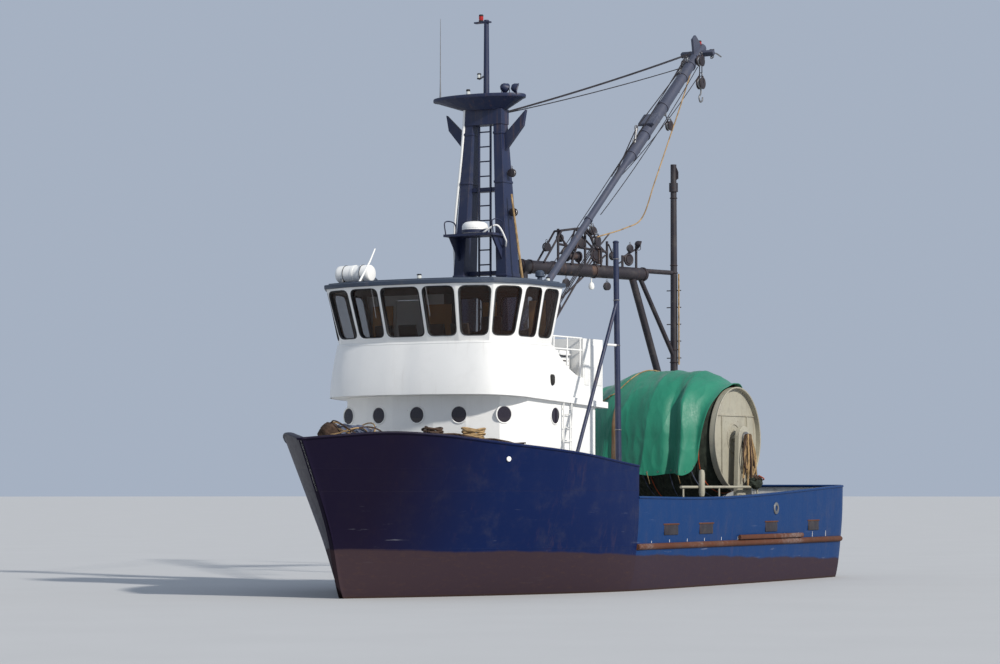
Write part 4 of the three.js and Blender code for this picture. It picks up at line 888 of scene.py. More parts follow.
class TRAWLER_OT_hull(bpy.types.Operator):
    """Smooth hull plating with decks, keel and guards, and the bulwarks with their caps and stays"""
    bl_idname = "trawler.hull"
    bl_label = "Hull and bulwarks"

    def execute(self, context):
        sizes = context.scene.trawler_sizes
        self.plating()
        self.forward_bulwark(sizes)
        self.aft_bulwark(sizes)
        return {"FINISHED"}

    def plating(self):
        """The two halves of the body, the keel, the shaft and rudder tubes, the guards and the decks."""
        navy = [grid(mirrored(body_form(True, 96, FOREDECK)), around=True, ends=True)]
        port = body_form(False, 90, WORKDECK)
        port[0, :, 0] -= 0.0005
        aft_body = grid(mirrored(port), around=True, ends=True)
        keel = [[at(2.3), -0.8], [at(3.3), -1.0], [at(15.25), -0.8], [at(15.25), -2.33], [at(16.75), -2.33],
                [at(16.75), -2.45], [at(14.9), -2.45], [at(5.2), -2.05], [at(3.6), -1.72], [at(2.65), -1.25]]
        under = [plate(keel, -0.11, 0.11, "xz", 0.02),
                 tube([[at(14.6), 0, -1.65], [-6.61, 0, -1.65]], [0.15, 0.11], 24),
                 tube([[-7.6, 0, -0.84], [-7.6, 0, -0.3]], 0.11, 24)]
        guards = []
        afts = np.linspace(7.3, 17.4, 60)
        for side in (1, -1):
            path = np.stack([at(afts), side * (half_breadth(1, afts) - 0.03), 0 * afts + 0.88], 1)
            guards.append(tube(path, 0.075, 12, 0.85))
        piece("hull_plating", {"hull_navy": navy, "hull_blue": [aft_body] + under, "rust_steel": guards,
                               "deck_paint": self.decks()}, stands_for=["hull"])

    def cap_section(self, sizes):
        """The rail cap's section, which covers the top of the bulwark."""
        return oval(sizes.cap_width, sizes.cap_depth, 14, (sizes.cap_width / 2 - 0.02, -0.02))

    def decks(self):
        """Deck coverings a few millimetres thick: the deck's plan carried up over the plating."""
        forms = []
        count = 60
        for fore, level in ((True, FOREDECK), (False, WORKDECK)):
            share = np.linspace(0.03 if fore else 0, 1 if fore else 0.993, count)
            lines = level_lines(share, fore)
            edge = on_side(lines, girth_at(lines, np.full(count, level))[:, None])[:, 0]
            half = np.maximum(edge[:, 1] - 0.04, 0.004)
            across = np.linspace(-1, 1, 25)
            y = half[:, None] * across
            camber = CAMBER * (1 - across ** 2) * np.minimum(edge[:, 1:2] / 3, 1)
            top = np.stack([np.broadcast_to(edge[:, :1], y.shape), y, level + 0.008 + camber], -1)
            low = top - np.array([0, 0, 0.012])
            forms.append(wall_form(top, low))
        return forms

    def forward_bulwark(self, sizes):
        """Plating from the foredeck to the rail round the bow, its cap, and its stays inside."""
        count = 90
        share = np.linspace(1, 0, count) ** 1.25
        lines = level_lines(share, True)
        foot = girth_at(lines, np.full(count, FOREDECK))
        up = np.linspace(0, 1, 14)
        outer = on_side(lines, foot[:, None] + (4 - foot[:, None]) * up)
        run = unit(np.gradient(outer, axis=0))
        inward = unit(np.stack([run[..., 1], -run[..., 0], 0 * run[..., 0]], -1))
        inner = outer + inward * sizes.plate_wall
        inner[..., 1] = np.maximum(inner[..., 1], 0.012)
        both = [both_sides(g) for g in (outer, inner)]
        lining = [both_sides(inner + inward * depth) for depth in (0.001, 0.008)]
        for g in lining:
            g[..., 1] = np.where(np.abs(g[..., 1]) < 0.004, np.sign(g[..., 1]) * 0.004, g[..., 1])
        afts = np.concatenate([np.linspace(7.29, 1.2, 50), np.linspace(1.1, 0.0, 24)])
        rail = rail_points(afts, on_curve(HEIGHTS[0], afts))
        rail = both_sides(rail)
        rail[:, 2] += 0.002
        cap = moulding(rail[::-1], self.cap_section(sizes))
        stays = []
        for aft in np.arange(2.6, 7.2, 0.62):
            top = float(on_curve(HEIGHTS[0], np.array([aft]))[0]) - 0.07
            (low, out), (high, _) = side_point(aft, FOREDECK + 0.02), side_point(aft, top)
            wall = (sizes.plate_wall + 0.012) / max(abs(out[1]), 0.4)
            a, b = low[1] - wall, high[1] - wall
            rows = np.array([[a, FOREDECK], [a - 0.3, FOREDECK], [a - 0.26, FOREDECK + 0.05],
                             [b - 0.03, top], [b, top]])
            stays += [plate(rows * [side, 1], low[0] - 0.006, low[0] + 0.006, "yz", 0.002)
                      for side in (1, -1)]
        inside = [wall_form(*lining)] + stays
        piece("forward_bulwark_plating", {"hull_navy": [wall_form(*both), cap], "bulwark_inside": inside},
              stands_for=["bulwark_forward"])

    def aft_bulwark(self, sizes):
        """Plating round the working deck and across the transom, with cap, stays and freeing ports."""
        afts = np.concatenate([np.linspace(7.3, 17.0, 70), 17.0 + 0.7 * np.linspace(0.05, 1, 16)])
        share = (afts - BREAK) / (LENGTH - BREAK)
        lines = level_lines(share, False)
        top = on_curve(AFT_RAIL, afts)
        low_g, high_g = girth_at(lines, np.full(len(afts), WORKDECK)), girth_at(lines, top - 0.012)
        outer = on_side(lines, low_g[:, None] + (high_g - low_g)[:, None] * np.linspace(0, 1, 12))
        run = unit(np.gradient(outer, axis=0))
        inward = unit(np.stack([-run[..., 1], run[..., 0], 0 * run[..., 0]], -1))
        inward[..., 1] = -np.abs(inward[..., 1])
        inward[-1] = unit(np.array([0.7, -0.7, 0]))
        inner = outer + inward * sizes.plate_wall
        inner[-1] = outer[-1] + np.array([sizes.plate_wall, -sizes.plate_wall, 0])
        stern = np.linspace(1, -1, 40)[1:-1, None, None] * np.array([0, 1, 0]) + np.array([1, 0, 1])
        grids = [both_sides(g, g[-1:] * stern) for g in (outer, inner)]
        deep = inner + inward * 0.008
        deep[-1] = inner[-1] + np.array([0.008, -0.008, 0])
        lining = both_sides(deep, deep[-1:] * stern)
        rail = outer[:, -1].copy()
        rail[:, 2] = top
        rail = both_sides(rail, rail[-1:] * stern[:, 0])
        cap = moulding(rail, self.cap_section(sizes))
        stays, flaps, rims = [], [], []
        for aft in np.arange(7.9, 17.2, 0.78):
            half = float(half_breadth(0, np.array([aft]))[0]) - 0.1
            height = float(on_curve(AFT_RAIL, np.array([aft]))[0])
            for side in (1, -1):
                rows = [[side * (half + 0.05), WORKDECK], [side * (half - 0.3), WORKDECK],
                        [side * (half - 0.27), WORKDECK + 0.05], [side * (half - 0.02), height - 0.08],
                        [side * (half + 0.05), height - 0.08]]
                stays.append(plate(rows, at(aft) - 0.006, at(aft) + 0.006, "yz", 0.002))
        for aft in (8.7, 10.3, 13.4, 15.7):
            for side in (1, -1):
                spot, out = (v * np.array([1, side, 1]) for v in side_point(aft, 1.2))
                basis = np.stack([unit(np.cross(out, Z)), out, Z], 1)
                flaps.append(moved(slab([-0.3, -0.004, -0.1], [0.3, 0.012, 0.1], 0.004), basis, spot))
                rims.append(moved(slab([-0.34, -0.004, 0.1], [0.34, 0.02, 0.13], 0.006), basis, spot))
        inside = [wall_form(grids[1], lining)] + stays
        piece("aft_bulwark_plating", {"hull_blue": [wall_form(*grids), cap], "bulwark_inside": inside,
                                      "gear_paint": flaps, "rust_steel": rims}, stands_for=["bulwark_aft"])


# Superstructure


def gather(*parts):
    """One dict of finish to forms out of several."""
    made = {}
    for part in parts:
        for finish, forms in part.items():
            made.setdefault(finish, []).extend(forms)
    return made


def half_plan(name):
    """Corners of a half plan from the front's port end aft, as [x, y] rows."""
    aft, rows = FRONTS[name]
    run, angle = np.array(rows, float).T
    angle = np.radians(angle)
    return np.stack([at(aft) - np.cumsum(run * np.sin(angle)), np.cumsum(run * np.cos(angle))], 1)


def plan(name, aft_end):
    """Whole plan from the port aft corner round the front to the starboard one."""
    port = half_plan(name)
    port = np.concatenate([port, [[aft_end, port[-1, 1]]]])
    return np.concatenate([port[::-1], port * [1, -1]])


def eased_plan(name, aft_end, count=40):
    """The same plan with its front eased into one curve through the corners."""
    port = half_plan(name)
    rows = np.concatenate([[[port[0, 0], -port[0, 1]], [at(FRONTS[name][0]), 0]], port])
    share = np.linspace(0, len(port), count)
    corner = np.arange(-1, len(port) + 1)
    curve = np.stack([on_curve(np.stack([corner, rows[:, k]], 1), share) for k in (0, 1)], 1)
    straight = np.stack([np.linspace(port[-1, 0], aft_end, 5)[1:], np.full(4, port[-1, 1])], 1)
    curve = np.concatenate([curve, straight])
    return np.concatenate([curve[::-1], curve[1:] * [1, -1]])


def deck_top(x):
    """Height of the boat deck, which falls aft."""
    (front, high), (back, low) = BOAT_DECK["front"], BOAT_DECK["aft"]
    return low + (high - low) * (x - back) / (front - back)


def level_ring(outline, z):
    return np.concatenate([outline, np.broadcast_to(z, (len(outline),))[:, None]], 1)


def cell_points(outer, inner, outline, w):
    """Points of a wall cell: outline rows are shares along and up its faces, w is the share through."""
    u, v = outline[:, :1], outline[:, 1:]
    faces = []
    for c in (outer, inner):
        low, high = c[0] + (c[1] - c[0]) * u, c[3] + (c[2] - c[3]) * u
        faces.append(low + (high - low) * v)
    return faces[0] + (faces[1] - faces[0]) * w


def window(outer, inner, hole, pane):
    """A wall cell round a window with its rubber seal and its pane, from the cell's outer and inner
    corners and the hole's shares [u0, u1, v0, v1]."""
    size = np.array([np.linalg.norm(outer[1] - outer[0]), np.linalg.norm(outer[3] - outer[0])])
    u0, u1, v0, v1 = hole
    corners = np.array([[u0, v0], [u1, v0], [u1, v1], [u0, v1]]) * size

    def line(grown, w):
        return cell_points(outer, inner, rounded(inset(corners, -grown), 0.12 + grown) / size, w)

    frame_line = np.repeat(np.array([[0.0, 0], [1, 0], [1, 1], [0, 1]]), 5, 0)
    edge = [cell_points(outer, inner, frame_line, w) for w in (0, 1)]
    wall = grid(np.array([edge[0], line(0, 0), line(0, 1), edge[1], edge[0]]), around=True)
    seal = grid(np.array([line(g, w) for g, w in (
        (0.014, 0.1), (0.014, -0.06), (0.004, -0.1), (-0.01, -0.04), (-0.01, 0.99), (0.014, 0.99),
        (0.014, 0.1))]), around=True)
    edge += [cell_points(outer, inner, frame_line, w) for w in (1.01, 1.06)]
    lining = grid(np.array([edge[2], line(0, 1.01), line(0, 1.06), edge[3], edge[2]]), around=True)
    through = pane / np.linalg.norm(outer[0] - inner[0])
    glass = grid(np.array([line(0.008, 0.3), line(0.008, 0.3 + through)]), around=True, ends=True)
    return {"white_paint": [wall], "black_rubber": [seal], "tinted_glass": [glass], "console_trim": [lining]}


def solid_cell(outer, inner):
    """A plain wall cell."""
    return grid(np.array([outer, inner]), around=True, ends=True)


def yz_cell(x0, x1, low, high):
    """Outer and inner corners of a wall cell across the ship: low and high are (z, y from, y to)."""
    rows = [[low[1], low[0]], [low[2], low[0]], [high[2], high[0]], [high[1], high[0]]]
    return [np.array([[x, y, z] for y, z in rows]) for x in (x0, x1)]


def lamp(place, radius, tall, lens="clear_lens", axis=Z):
    """A navigation lamp: foot, lens between two rings, and cap."""
    foot, glass, cap = (turned(np.array(rows) * [radius, tall], place, axis, 16) for rows in (
        rod(1, 0, 0.2), [[0, 0.19], [0.86, 0.19], [0.95, 0.5], [0.86, 0.79], [0, 0.79]],
        [[0, 0.78], [1.05, 0.78], [0.8, 1], [0, 1]]))
    return {"black_rubber": [foot, cap], lens: [glass]}


def floodlight(place, aim, radius, finish):
    """A round floodlight: a deep can with a rim, its lens and a stirrup."""
    r, place, aim = radius, np.array(place, float), unit(np.array(aim, float))
    side = unit(np.cross(aim, Z)) * 1.15
    can = r * np.array([[0, -1.1], [0.45, -1.1], [0.8, -0.7], [1, 0], [1.08, 0.05], [1.08, 0.2], [0.93, 0.2],
                        [0.9, 0.05], [0, 0.02]])
    glass = r * np.array([[0, 0.04], [0.9, 0.06], [0.9, 0.12], [0.5, 0.17], [0, 0.19]])
    arms = [place + way * r for way in (side, side - Z * 1.3, -side - Z * 1.3, -side)]
    return {finish: [turned(can, place, aim, 24), pipe(arms, r * 0.09, 6, 4)],
            "clear_lens": [turned(glass, place, aim, 24)]}


def tackle_block(place, size, axis=Y):
    """A rigging block: two cheeks with a strap each, the sheave between them, and a shackle above."""
    s, place = size, np.array(place, float)
    axis = unit(np.array(axis, float))
    cheek = s * np.array([[0, -0.05], [0.3, -0.05], [0.42, -0.01], [0.42, 0.03], [0.3, 0.06], [0, 0.06]])
    cheeks = [turned(cheek, place + axis * side * 0.14 * s, axis * side, 18) for side in (1, -1)]
    reach = np.array([[-0.05, -0.05, -0.05], [0.05, 0.05, 0.5]]) * s
    straps = [slab(*(place + reach + axis * side * 0.15 * s), 0.01) for side in (1, -1)]
    groove = s * np.array([[0, -0.09], [0.36, -0.09], [0.3, 0], [0.36, 0.09], [0, 0.09]])
    ring = hoop(place + Z * 0.6 * s, unit(np.cross(axis, Z) + 1e-6), 0.12 * s, 0.03 * s, 14, 6)
    return {"gear_paint": cheeks + straps, "bare_steel": [turned(groove, place, axis, 18), ring]}


def ball_of(columns, rows):
    """A grid of points on the unit sphere, by longitude and latitude."""
    lon, lat = np.meshgrid(np.linspace(0, 2 * np.pi, columns + 1)[:-1],
                           np.linspace(-np.pi / 2, np.pi / 2, rows))
    return np.stack([np.cos(lat) * np.cos(lon), np.cos(lat) * np.sin(lon), np.sin(lat)], -1)


def wire(start, end, radius, sag=0.0, sides=8):
    """A taut wire or rope between two points with a little sag."""
    start, end = np.array(start, float), np.array(end, float)
    t = np.linspace(0, 1, 13 if sag else 3)[:, None]
    return tube(start + (end - start) * t - Z * sag * 4 * t * (1 - t), radius, sides)


class TRAWLER_OT_wheelhouse(bpy.types.Operator):
    """Pilothouse: smooth band, window wall with seals and tinted panes, roof, and what shows inside"""
    bl_idname = "trawler.wheelhouse"
    bl_label = "Pilothouse"

    def execute(self, context):
        sizes = context.scene.trawler_sizes
        self.band(sizes.house_wall)
        self.window_wall(sizes)
        self.roof()
        self.inside(sizes)
        return {"FINISHED"}

    def band(self, wall):
        """The eased wall under the windows, its flat aft panels, its trim and its lining."""
        low, high = eased_plan("band", CABIN_AFT), eased_plan("sill", CABIN_AFT)
        share = np.array([0, 0.02, 0.12, 0.3, 0.5, 0.7, 0.85, 0.95, 1.0])
        ease = share ** 1.6
        grids = []
        # The skin starts under the deck's edge and covers it, the inner face starts on the deck.
        for grown, depth, drop in ((0.046, 0, 0.125), (0, wall, 0)):
            a, b = inset(low, depth - grown), inset(high, depth)
            foot = deck_top(low[:, 0]) - drop
            rows = [level_ring(a + (b - a) * e, foot + (SILL - foot) * s) for s, e in zip(share, ease)]
            grids.append(np.array(rows).transpose(1, 0, 2))
        foot = deck_top(CABIN_AFT)
        x0, x1 = CABIN_AFT, CABIN_AFT + wall
        a, b = half_plan("band")[-1, 1] - 0.004, half_plan("sill")[-1, 1] - 0.004
        aft = [plate([[-0.848, foot], [a, foot], [b, SILL], [-0.848, SILL]], x0, x1, "yz", 0.003),
               plate([[-a, foot], [-1.512, foot], [-1.512, SILL], [-b, SILL]], x0, x1, "yz", 0.003)]
        trim = moulding(level_ring(inset(high, -0.004), SILL - 0.035), oval(0.016, 0.02, 8))
        inner = grids[1]
        run = unit(np.gradient(inner, axis=0))
        inward = np.stack([run[..., 1], -run[..., 0], 0 * run[..., 0]], -1)
        inward *= np.sign(-(inward * (inner - [3.6, 0, 0]))[..., :2].sum(-1, keepdims=True))
        lining = wall_form(inner + inward * 0.001, inner + inward * 0.008)
        piece("wheelhouse_band", {"white_paint": [wall_form(*grids)] + aft + [trim],
                                  "console_trim": [lining]}, stands_for=["pilothouse_band"], angle=50)

    def window_wall(self, sizes):
        """A window in each panel from sill to eaves, two in the aft wall, and plain cells beside the door."""
        wall = sizes.house_wall
        sill, eaves = plan("sill", CABIN_AFT), plan("eaves", CABIN_AFT)
        rings = [level_ring(sill, SILL), level_ring(eaves, EAVES),
                 level_ring(inset(sill, wall), SILL), level_ring(inset(eaves, wall), EAVES)]
        shares = [[0.16, 0.9], [0.07, 0.92], [0.1, 0.9], [0.06, 0.91], [0.06, 0.94], [0.05, 0.95]]
        shares += [[1 - b, 1 - a] for a, b in shares[-2::-1]]
        parts = []
        for k, (u0, u1) in enumerate(shares):
            outer, inner = [np.array([low[k], low[k + 1], high[k + 1], high[k]])
                            for low, high in (rings[:2], rings[2:])]
            parts.append(window(outer, inner, [u0, u1, 0.1, 0.95], sizes.pane))
        x0, x1 = CABIN_AFT, CABIN_AFT + wall
        a, b = sill[0, 1] - 0.004, eaves[0, 1] - 0.004
        for low, high in (((SILL, a, 0.72), (EAVES, b, 0.72)), ((SILL, 0.72, -0.36), (EAVES, 0.72, -0.36))):
            wide = low[1] - low[2]
            middle = 1.25 if high[1] > 1 else 0.2
            u = [(low[1] - middle - 0.33) / wide, (low[1] - middle + 0.33) / wide]
            parts.append(window(*yz_cell(x0, x1, low, high), [*u, 0.248, 0.872], sizes.pane))
        blank = [yz_cell(x0, x1, (SILL, -0.36, -0.848), (EAVES, -0.36, -0.848)),
                 yz_cell(x0, x1, (5.832, -0.848, -1.512), (EAVES, -0.848, -1.512)),
                 yz_cell(x0, x1, (SILL, -1.512, -a), (EAVES, -1.512, -b))]
        parts.append({"white_paint": [solid_cell(*cell) for cell in blank]})
        piece("wheelhouse_windows", gather(*parts), stands_for=["pilothouse_window_wall"], angle=25)

    def roof(self):
        """The crowned roof with gutter and cowls, the raft in its cradle, and lamps, whip and wipers."""
        line = inset(plan("eaves", CABIN_AFT), -0.045)
        steps = [(0.03, 0.0005), (0.004, 0.004), (0, 0.02), (0, 0.075), (0.012, 0.083), (0.04, 0.088),
                 (0.42, 0.132), (0.66, 0.1345)]
        shell = grid(np.array([level_ring(inset(line, d), EAVES + z) for d, z in steps]), around=True,
                     ends=True)
        gutter = moulding(level_ring(inset(line, 0.1), EAVES + 0.1), oval(0.03, 0.03, 10), closed=True)
        cowls = [turned([[0, 0], [0.05, 0], [0.05, 0.1], [0.09, 0.12], [0.09, 0.2], [0.05, 0.24], [0, 0.24]],
                        [3.5, y, EAVES + 0.1], Z, 20) for y in (1.95, -1.95)]
        piece("wheelhouse_roof", {"roof_paint": [shell, gutter] + cowls}, stands_for=["pilothouse_roof"],
              angle=35)
        raft = np.array([4.6, -1.65, 6.295])
        ends = [[0, -0.4], [0.09, -0.4], [0.148, -0.388], [0.166, -0.365], [0.17, -0.32], [0.17, -0.03],
                [0.176, -0.03]]
        ends += [[r, -y] for r, y in ends[::-1]]
        straps = [hoop(raft + Y * y, Y, 0.173, 0.007, 32, 6) for y in (-0.2, 0.2)]
        cradle = [slab(raft + [-0.15, y - 0.03, -0.22], raft + [0.15, y + 0.03, -0.09], 0.01)
                  for y in (-0.23, 0.23)]
        piece("raft_canister", {"white_paint": [turned(ends, raft, Y, 36)], "black_rubber": straps,
                                "bare_steel": cradle}, stands_for=["life_raft"])
        whips = [tube([[5.35, -1.07, 6.04], [4.95, -1.07, 6.5], [4.77, -1.07, 6.76]], [0.022, 0.018, 0.014],
                      8)]
        lights = [lamp([3.62, 2.2, 6.05], 0.045, 0.1), lamp([3.4, -2.2, 6.05], 0.045, 0.1),
                  lamp([5.45, 0.4, 6.055], 0.05, 0.11)]
        wiper = [tube([[5.57, y, 5.9], [5.405, y, 5.35]], 0.008, 6) for y in (0.62, -0.62)]
        piece("roof_fittings", gather({"white_paint": whips, "bare_steel": wiper}, *lights))

    def inside(self, sizes):
        """Wheel, screens, seat and headlining, seen dimly through the glass."""
        hub = np.array([4.28, 0.0, 4.75])
        spokes = [tube([hub, hub + 0.27 * (Y * math.cos(a) + Z * math.sin(a))], 0.011, 6)
                  for a in np.arange(6) * math.pi / 3]
        screens, faces = ([moved(slab(low, high, soft), turn_about(Y, 14), [4.72, y, 4.94])
                           for y in (-0.85, -0.3, 0.35, 0.9)]
                          for low, high, soft in (([-0.03, -0.2, 0], [0.03, 0.2, 0.3], 0.012),
                                                  ([-0.036, -0.18, 0.02], [-0.031, 0.18, 0.28], 0.002)))
        seat = [slab([3.68, 0.72, 4.62], [4.12, 1.18, 4.72], 0.04),
                slab([3.62, 0.72, 4.72], [3.72, 1.18, 5.42], 0.04),
                turned([[0, 0], [0.2, 0], [0.2, 0.03], [0.04, 0.05], [0.04, 0.72], [0, 0.72]],
                       [3.9, 0.95, 3.905], Z, 20)]
        lining = [plate(inset(plan("eaves", CABIN_AFT + 0.1), 0.12), 5.915, 5.945, "xy", 0.004)]
        x = CABIN_AFT + sizes.house_wall + 0.012
        panels = [slab([x, a, low], [x + 0.02, b, high], 0.004)
                  for a, b, low, high in ((-2.05, -1.56, 4.5, 5.72), (-0.8, -0.17, 4.9, 5.72),
                                          (0.57, 0.88, 4.9, 5.72), (1.62, 2.0, 4.9, 5.72),
                                          (-0.8, 2.0, 4.0, 4.86))]
        piece("helm_fittings", {"console_trim": lining + seat + screens, "dark_screen": faces,
                                "panel_wood": panels, "wood": [hoop(hub, X, 0.27, 0.017, 40, 8)],
                                "bare_steel": spokes + [tube([hub - X * 0.02, [4.45, 0, 4.72]], 0.04, 12)]})


class TRAWLER_OT_house_fittings(bpy.types.Operator):
    """Portholes, louvres, ladder, handrails and lamps of the deckhouse and the boat deck"""
    bl_idname = "trawler.house_fittings"
    bl_label = "House fittings"

    def execute(self, context):
        self.portholes(context.scene.trawler_sizes.port_radius)
        self.rails()
        self.lamps_and_handles()
        return {"FINISHED"}

    def portholes(self, radius):
        """A rim and a pane at shares along the panels of the deckhouse's plan."""
        house = plan("house", HOUSE_AFT)
        parts = []
        for panel, share in ((6, 0.917), (5, 0.529), (4, 0.396), (3, 0.212), (1, 0.847), (0, 0.606),
                             (8, 0.394), (8, 0.72)):
            run = unit(house[panel + 1] - house[panel])
            out = np.array([-run[1], run[0], 0])
            spot = np.array([*(house[panel] + (house[panel + 1] - house[panel]) * share), 3.465])
            rim = turned([[radius - 0.008, -0.01], [radius + 0.02, -0.01], [radius + 0.02, 0.01],
                          [radius + 0.012, 0.017], [radius, 0.017], [radius - 0.008, 0.01],
                          [radius - 0.008, -0.01]], spot, out, 40)
            glass = turned([[0, -0.006], [radius, -0.006], [radius, 0.006], [radius * 0.6, 0.009],
                            [0, 0.01]], spot, out, 32)
            parts.append({"white_paint": [rim], "port_glass": [glass]})
        piece("portholes", gather(*parts))

    def rails(self):
        """Louvres of the wing screens with a dark plate behind each set as painted shade, handrails over
        them, and the ladder up the port side.
        """
        louvres, rails = [], []
        # Painted shade: a dark plate behind each set of louvres stands for the shadow in the opening behind
        # them
        dark = [slab([2.16, side * 1.80 - 0.012, 4.0], [3.04, side * 1.80 + 0.012, 4.7], 0.004)
                for side in (1, -1)]
        for side in (1, -1):
            for z in np.arange(4.06, 4.66, 0.085):
                louvres.append(moved(slab([2.2, side * 1.845 - 0.02, z],
                                          [3.0, side * 1.845 + 0.012, z + 0.012], 0.004),
                                     turn_about(X, -32 * side), about=[2.6, side * 1.85, z]))
            for z in (4.79, 5.03):
                rails.append(pipe([[3.22, side * 2.06, z], [2.6, side * 2.06, z], [2.03, side * 2.06, z]],
                                  0.018, 8, 3))
            for x in (2.1, 2.62, 3.15):
                rails.append(tube([[x, side * 2.055, deck_top(x)], [x, side * 2.06, 5.03]], 0.019, 8))
            for x in (1.35, 1.62, 1.88):
                rails.append(slab([x - 0.09, side * 2.08, 4.1], [x + 0.09, side * 2.1, 4.9], 0.006))
        frame_bars = [slab([2.14, 1.83, z], [3.06, 1.87, z + 0.04], 0.006) for z in (4.68, 4.0)]
        ladder = [tube([[x, 2.13, 2.02], [x, 2.13, 3.75]], 0.016, 8) for x in (2.56, 2.88)]
        ladder += [tube([[2.56, 2.13, z], [2.88, 2.13, z]], 0.012, 6) for z in np.arange(2.2, 3.7, 0.26)]
        ladder += [tube([[x, 2.065, z], [x, 2.13, z]], 0.01, 6) for x in (2.56, 2.88) for z in (2.3, 3.6)]
        piece("house_rails", {"white_paint": rails + frame_bars + ladder, "gear_paint": dark + louvres})

    def lamps_and_handles(self):
        """Side lamp and cable boxes, and a handle on each door."""
        side_lamp = turned([[0, -0.11], [0.045, -0.1], [0.06, -0.05], [0.06, 0.05], [0.045, 0.1], [0, 0.11]],
                           [3.371, 2.15, 4.16], Z, 20)
        boxes = [slab([1.42, -0.6, 2.6], [1.5, -0.2, 3.1], 0.015),
                 slab([1.44, 0.3, 3.2], [1.5, 0.5, 3.45], 0.01)]
        piece("side_lamps", {"black_rubber": [side_lamp], "white_paint": boxes})
        doors = {}
        for node, x, y, z, hinge in (("house_door", HOUSE_AFT + 0.02, 1.2, 2.85, 1),
                                     ("cabin_door", CABIN_AFT + 0.02, -1.18, 4.8, -1)):
            knob = np.array([x - 0.03, y - hinge * 0.26, z])
            doors[node] = [tube([knob + X * 0.035, knob], 0.012, 8),
                           tube([knob, knob + Y * hinge * 0.12], 0.01, 8)]
        piece("deckhouse_door_handle", {"bare_steel": doors["house_door"]}, "house_door")
        # The door's pane is near-opaque dark glass, a painted shade of the room behind it
        pane = slab([CABIN_AFT + 0.014, -1.38, 5.15], [CABIN_AFT + 0.022, -0.98, 5.62], 0.003)
        piece("pilothouse_door_handle", {"bare_steel": doors["cabin_door"], "port_glass": [pane]},
              "cabin_door")


class TRAWLER_OT_mast(bpy.types.Operator):
    """Radome, lamps, floodlights, whips, cable pipes and blocks of the mast"""
    bl_idname = "trawler.mast"
    bl_label = "Mast fittings"

    def execute(self, context):
        self.radar()
        self.fittings()
        self.platform_rails()
        return {"FINISHED"}

    def radar(self):
        """The radome with the dark band round its foot."""
        dome = [[0, 0.001], [0.22, 0.001], [0.25, 0.015], [0.265, 0.05], [0.265, 0.1], [0.261, 0.103],
                [0.261, 0.112], [0.265, 0.115], [0.262, 0.16], [0.245, 0.205], [0.2, 0.24], [0.12, 0.257],
                [0, 0.263]]
        foot = [2.74, 0, 7.1503]
        skirt = band(0.262, 0.2675, 0.02, 0.085)
        piece("radar_dome", {"white_paint": [turned(dome, foot, Z, 48)],
                             "mast_paint": [turned(skirt, foot, Z, 48)]}, stands_for=["radome"])

    def fittings(self):
        """Lamps, floodlights and whips of the mast's head, cable pipes, blocks, and bands on its legs."""
        x, dish = MAST_X, 9.99
        parts = [lamp([x, -0.127, 11.53], 0.05, 0.15, "red_lens"), lamp([x, -0.174, 10.36], 0.045, 0.12),
                 lamp([x, -0.436, dish], 0.045, 0.18),
                 floodlight([x + 0.08, 0.5, 10.12], [-0.8, 0.3, -0.3], 0.1, "mast_paint"),
                 floodlight([x + 0.08, 0.76, 10.1], [-0.5, 0.9, -0.3], 0.1, "mast_paint"),
                 tackle_block([x, 0.6, 8.4], 0.2, X), tackle_block([x, 0.64, 7.6], 0.2, X)]
        around = np.linspace(0, 2 * np.pi, 49)[:-1]
        edge = np.stack([x + 0.47 * np.cos(around), 1.05 * np.sin(around) - 0.17, 0 * around + 9.96], 1)[::-1]
        rim = moulding(edge, oval(0.03, 0.075, 12), closed=True)
        whip = [[x, -1.107, dish - 0.01], [x, -1.107, 10.4], [x, -1.107, 11.68]]
        bars = [tube(whip, [0.02, 0.01, 0.004], 8)]
        bars += [tube([[x + 0.08, y, dish - 0.01], [x + 0.08, y, top]], 0.014, 8)
                 for y, top in ((0.5, 10.03), (0.74, 10.01))]
        bars.append(tube([[x, -0.06, 10.41], [x, -0.174, 10.36]], 0.02, 8))
        cable = [pipe([[x + 0.2, -0.6, 6.07], [x + 0.18, -0.64, 7.29], [x + 0.14, -0.5, 8.8],
                       [x + 0.12, -0.42, 9.94]], 0.035, 10),
                 pipe([[x + 0.62, 0.3, 7.16], [x + 0.55, 0.58, 7.3], [x + 0.35, 0.66, 7.03],
                       [x + 0.2, 0.57, 6.9]], 0.02, 8)]
        tan = [tube([[x + 0.1, 0.65, 7.96], [x + 0.1, 0.906, 6.24]], [0.02, 0.028], 8)]
        bands = []
        for side in (1, -1):
            for z in (4.6, 6.3, 8.2, 9.2):
                t = (z - MAST_FOOT) / (MAST_TOP - MAST_FOOT)
                y, wide, long = side * (0.645 - 0.31 * t), 0.15 - 0.055 * t, 0.365 - 0.225 * t
                bands.append(slab([x - long - 0.008, y - wide - 0.008, z],
                                  [x + long + 0.008, y + wide + 0.008, z + 0.05], 0.008))
        piece("mast_fittings", gather({"mast_paint": [rim] + bands, "bare_steel": bars, "white_paint": cable,
                                       "tan_rope": tan}, *parts))

    def platform_rails(self):
        """A hand rail on each side of the radar's platform."""
        rails = [pipe([[2.96, y, 7.15], [2.99, y, 7.4], [2.62, y, 7.4], [2.56, y, 7.15]], 0.013, 8, 4)
                 for y in (0.56, -0.56)]
        piece("radar_rails", {"mast_paint": rails})


BOOM_FRAME = np.stack([[-math.cos(RISE), 0, math.sin(RISE)], Y, [-math.sin(RISE), 0, -math.cos(RISE)]], 1)


def on_boom(form):
    """A form drawn with the boom along X from its pin, Z down, put where the boom is."""
    return {**form, "points": form["points"] @ BOOM_FRAME.T + LUFF}


def boom_point(along, side, below):
    return LUFF + BOOM_FRAME @ np.array([along, side, below], float)


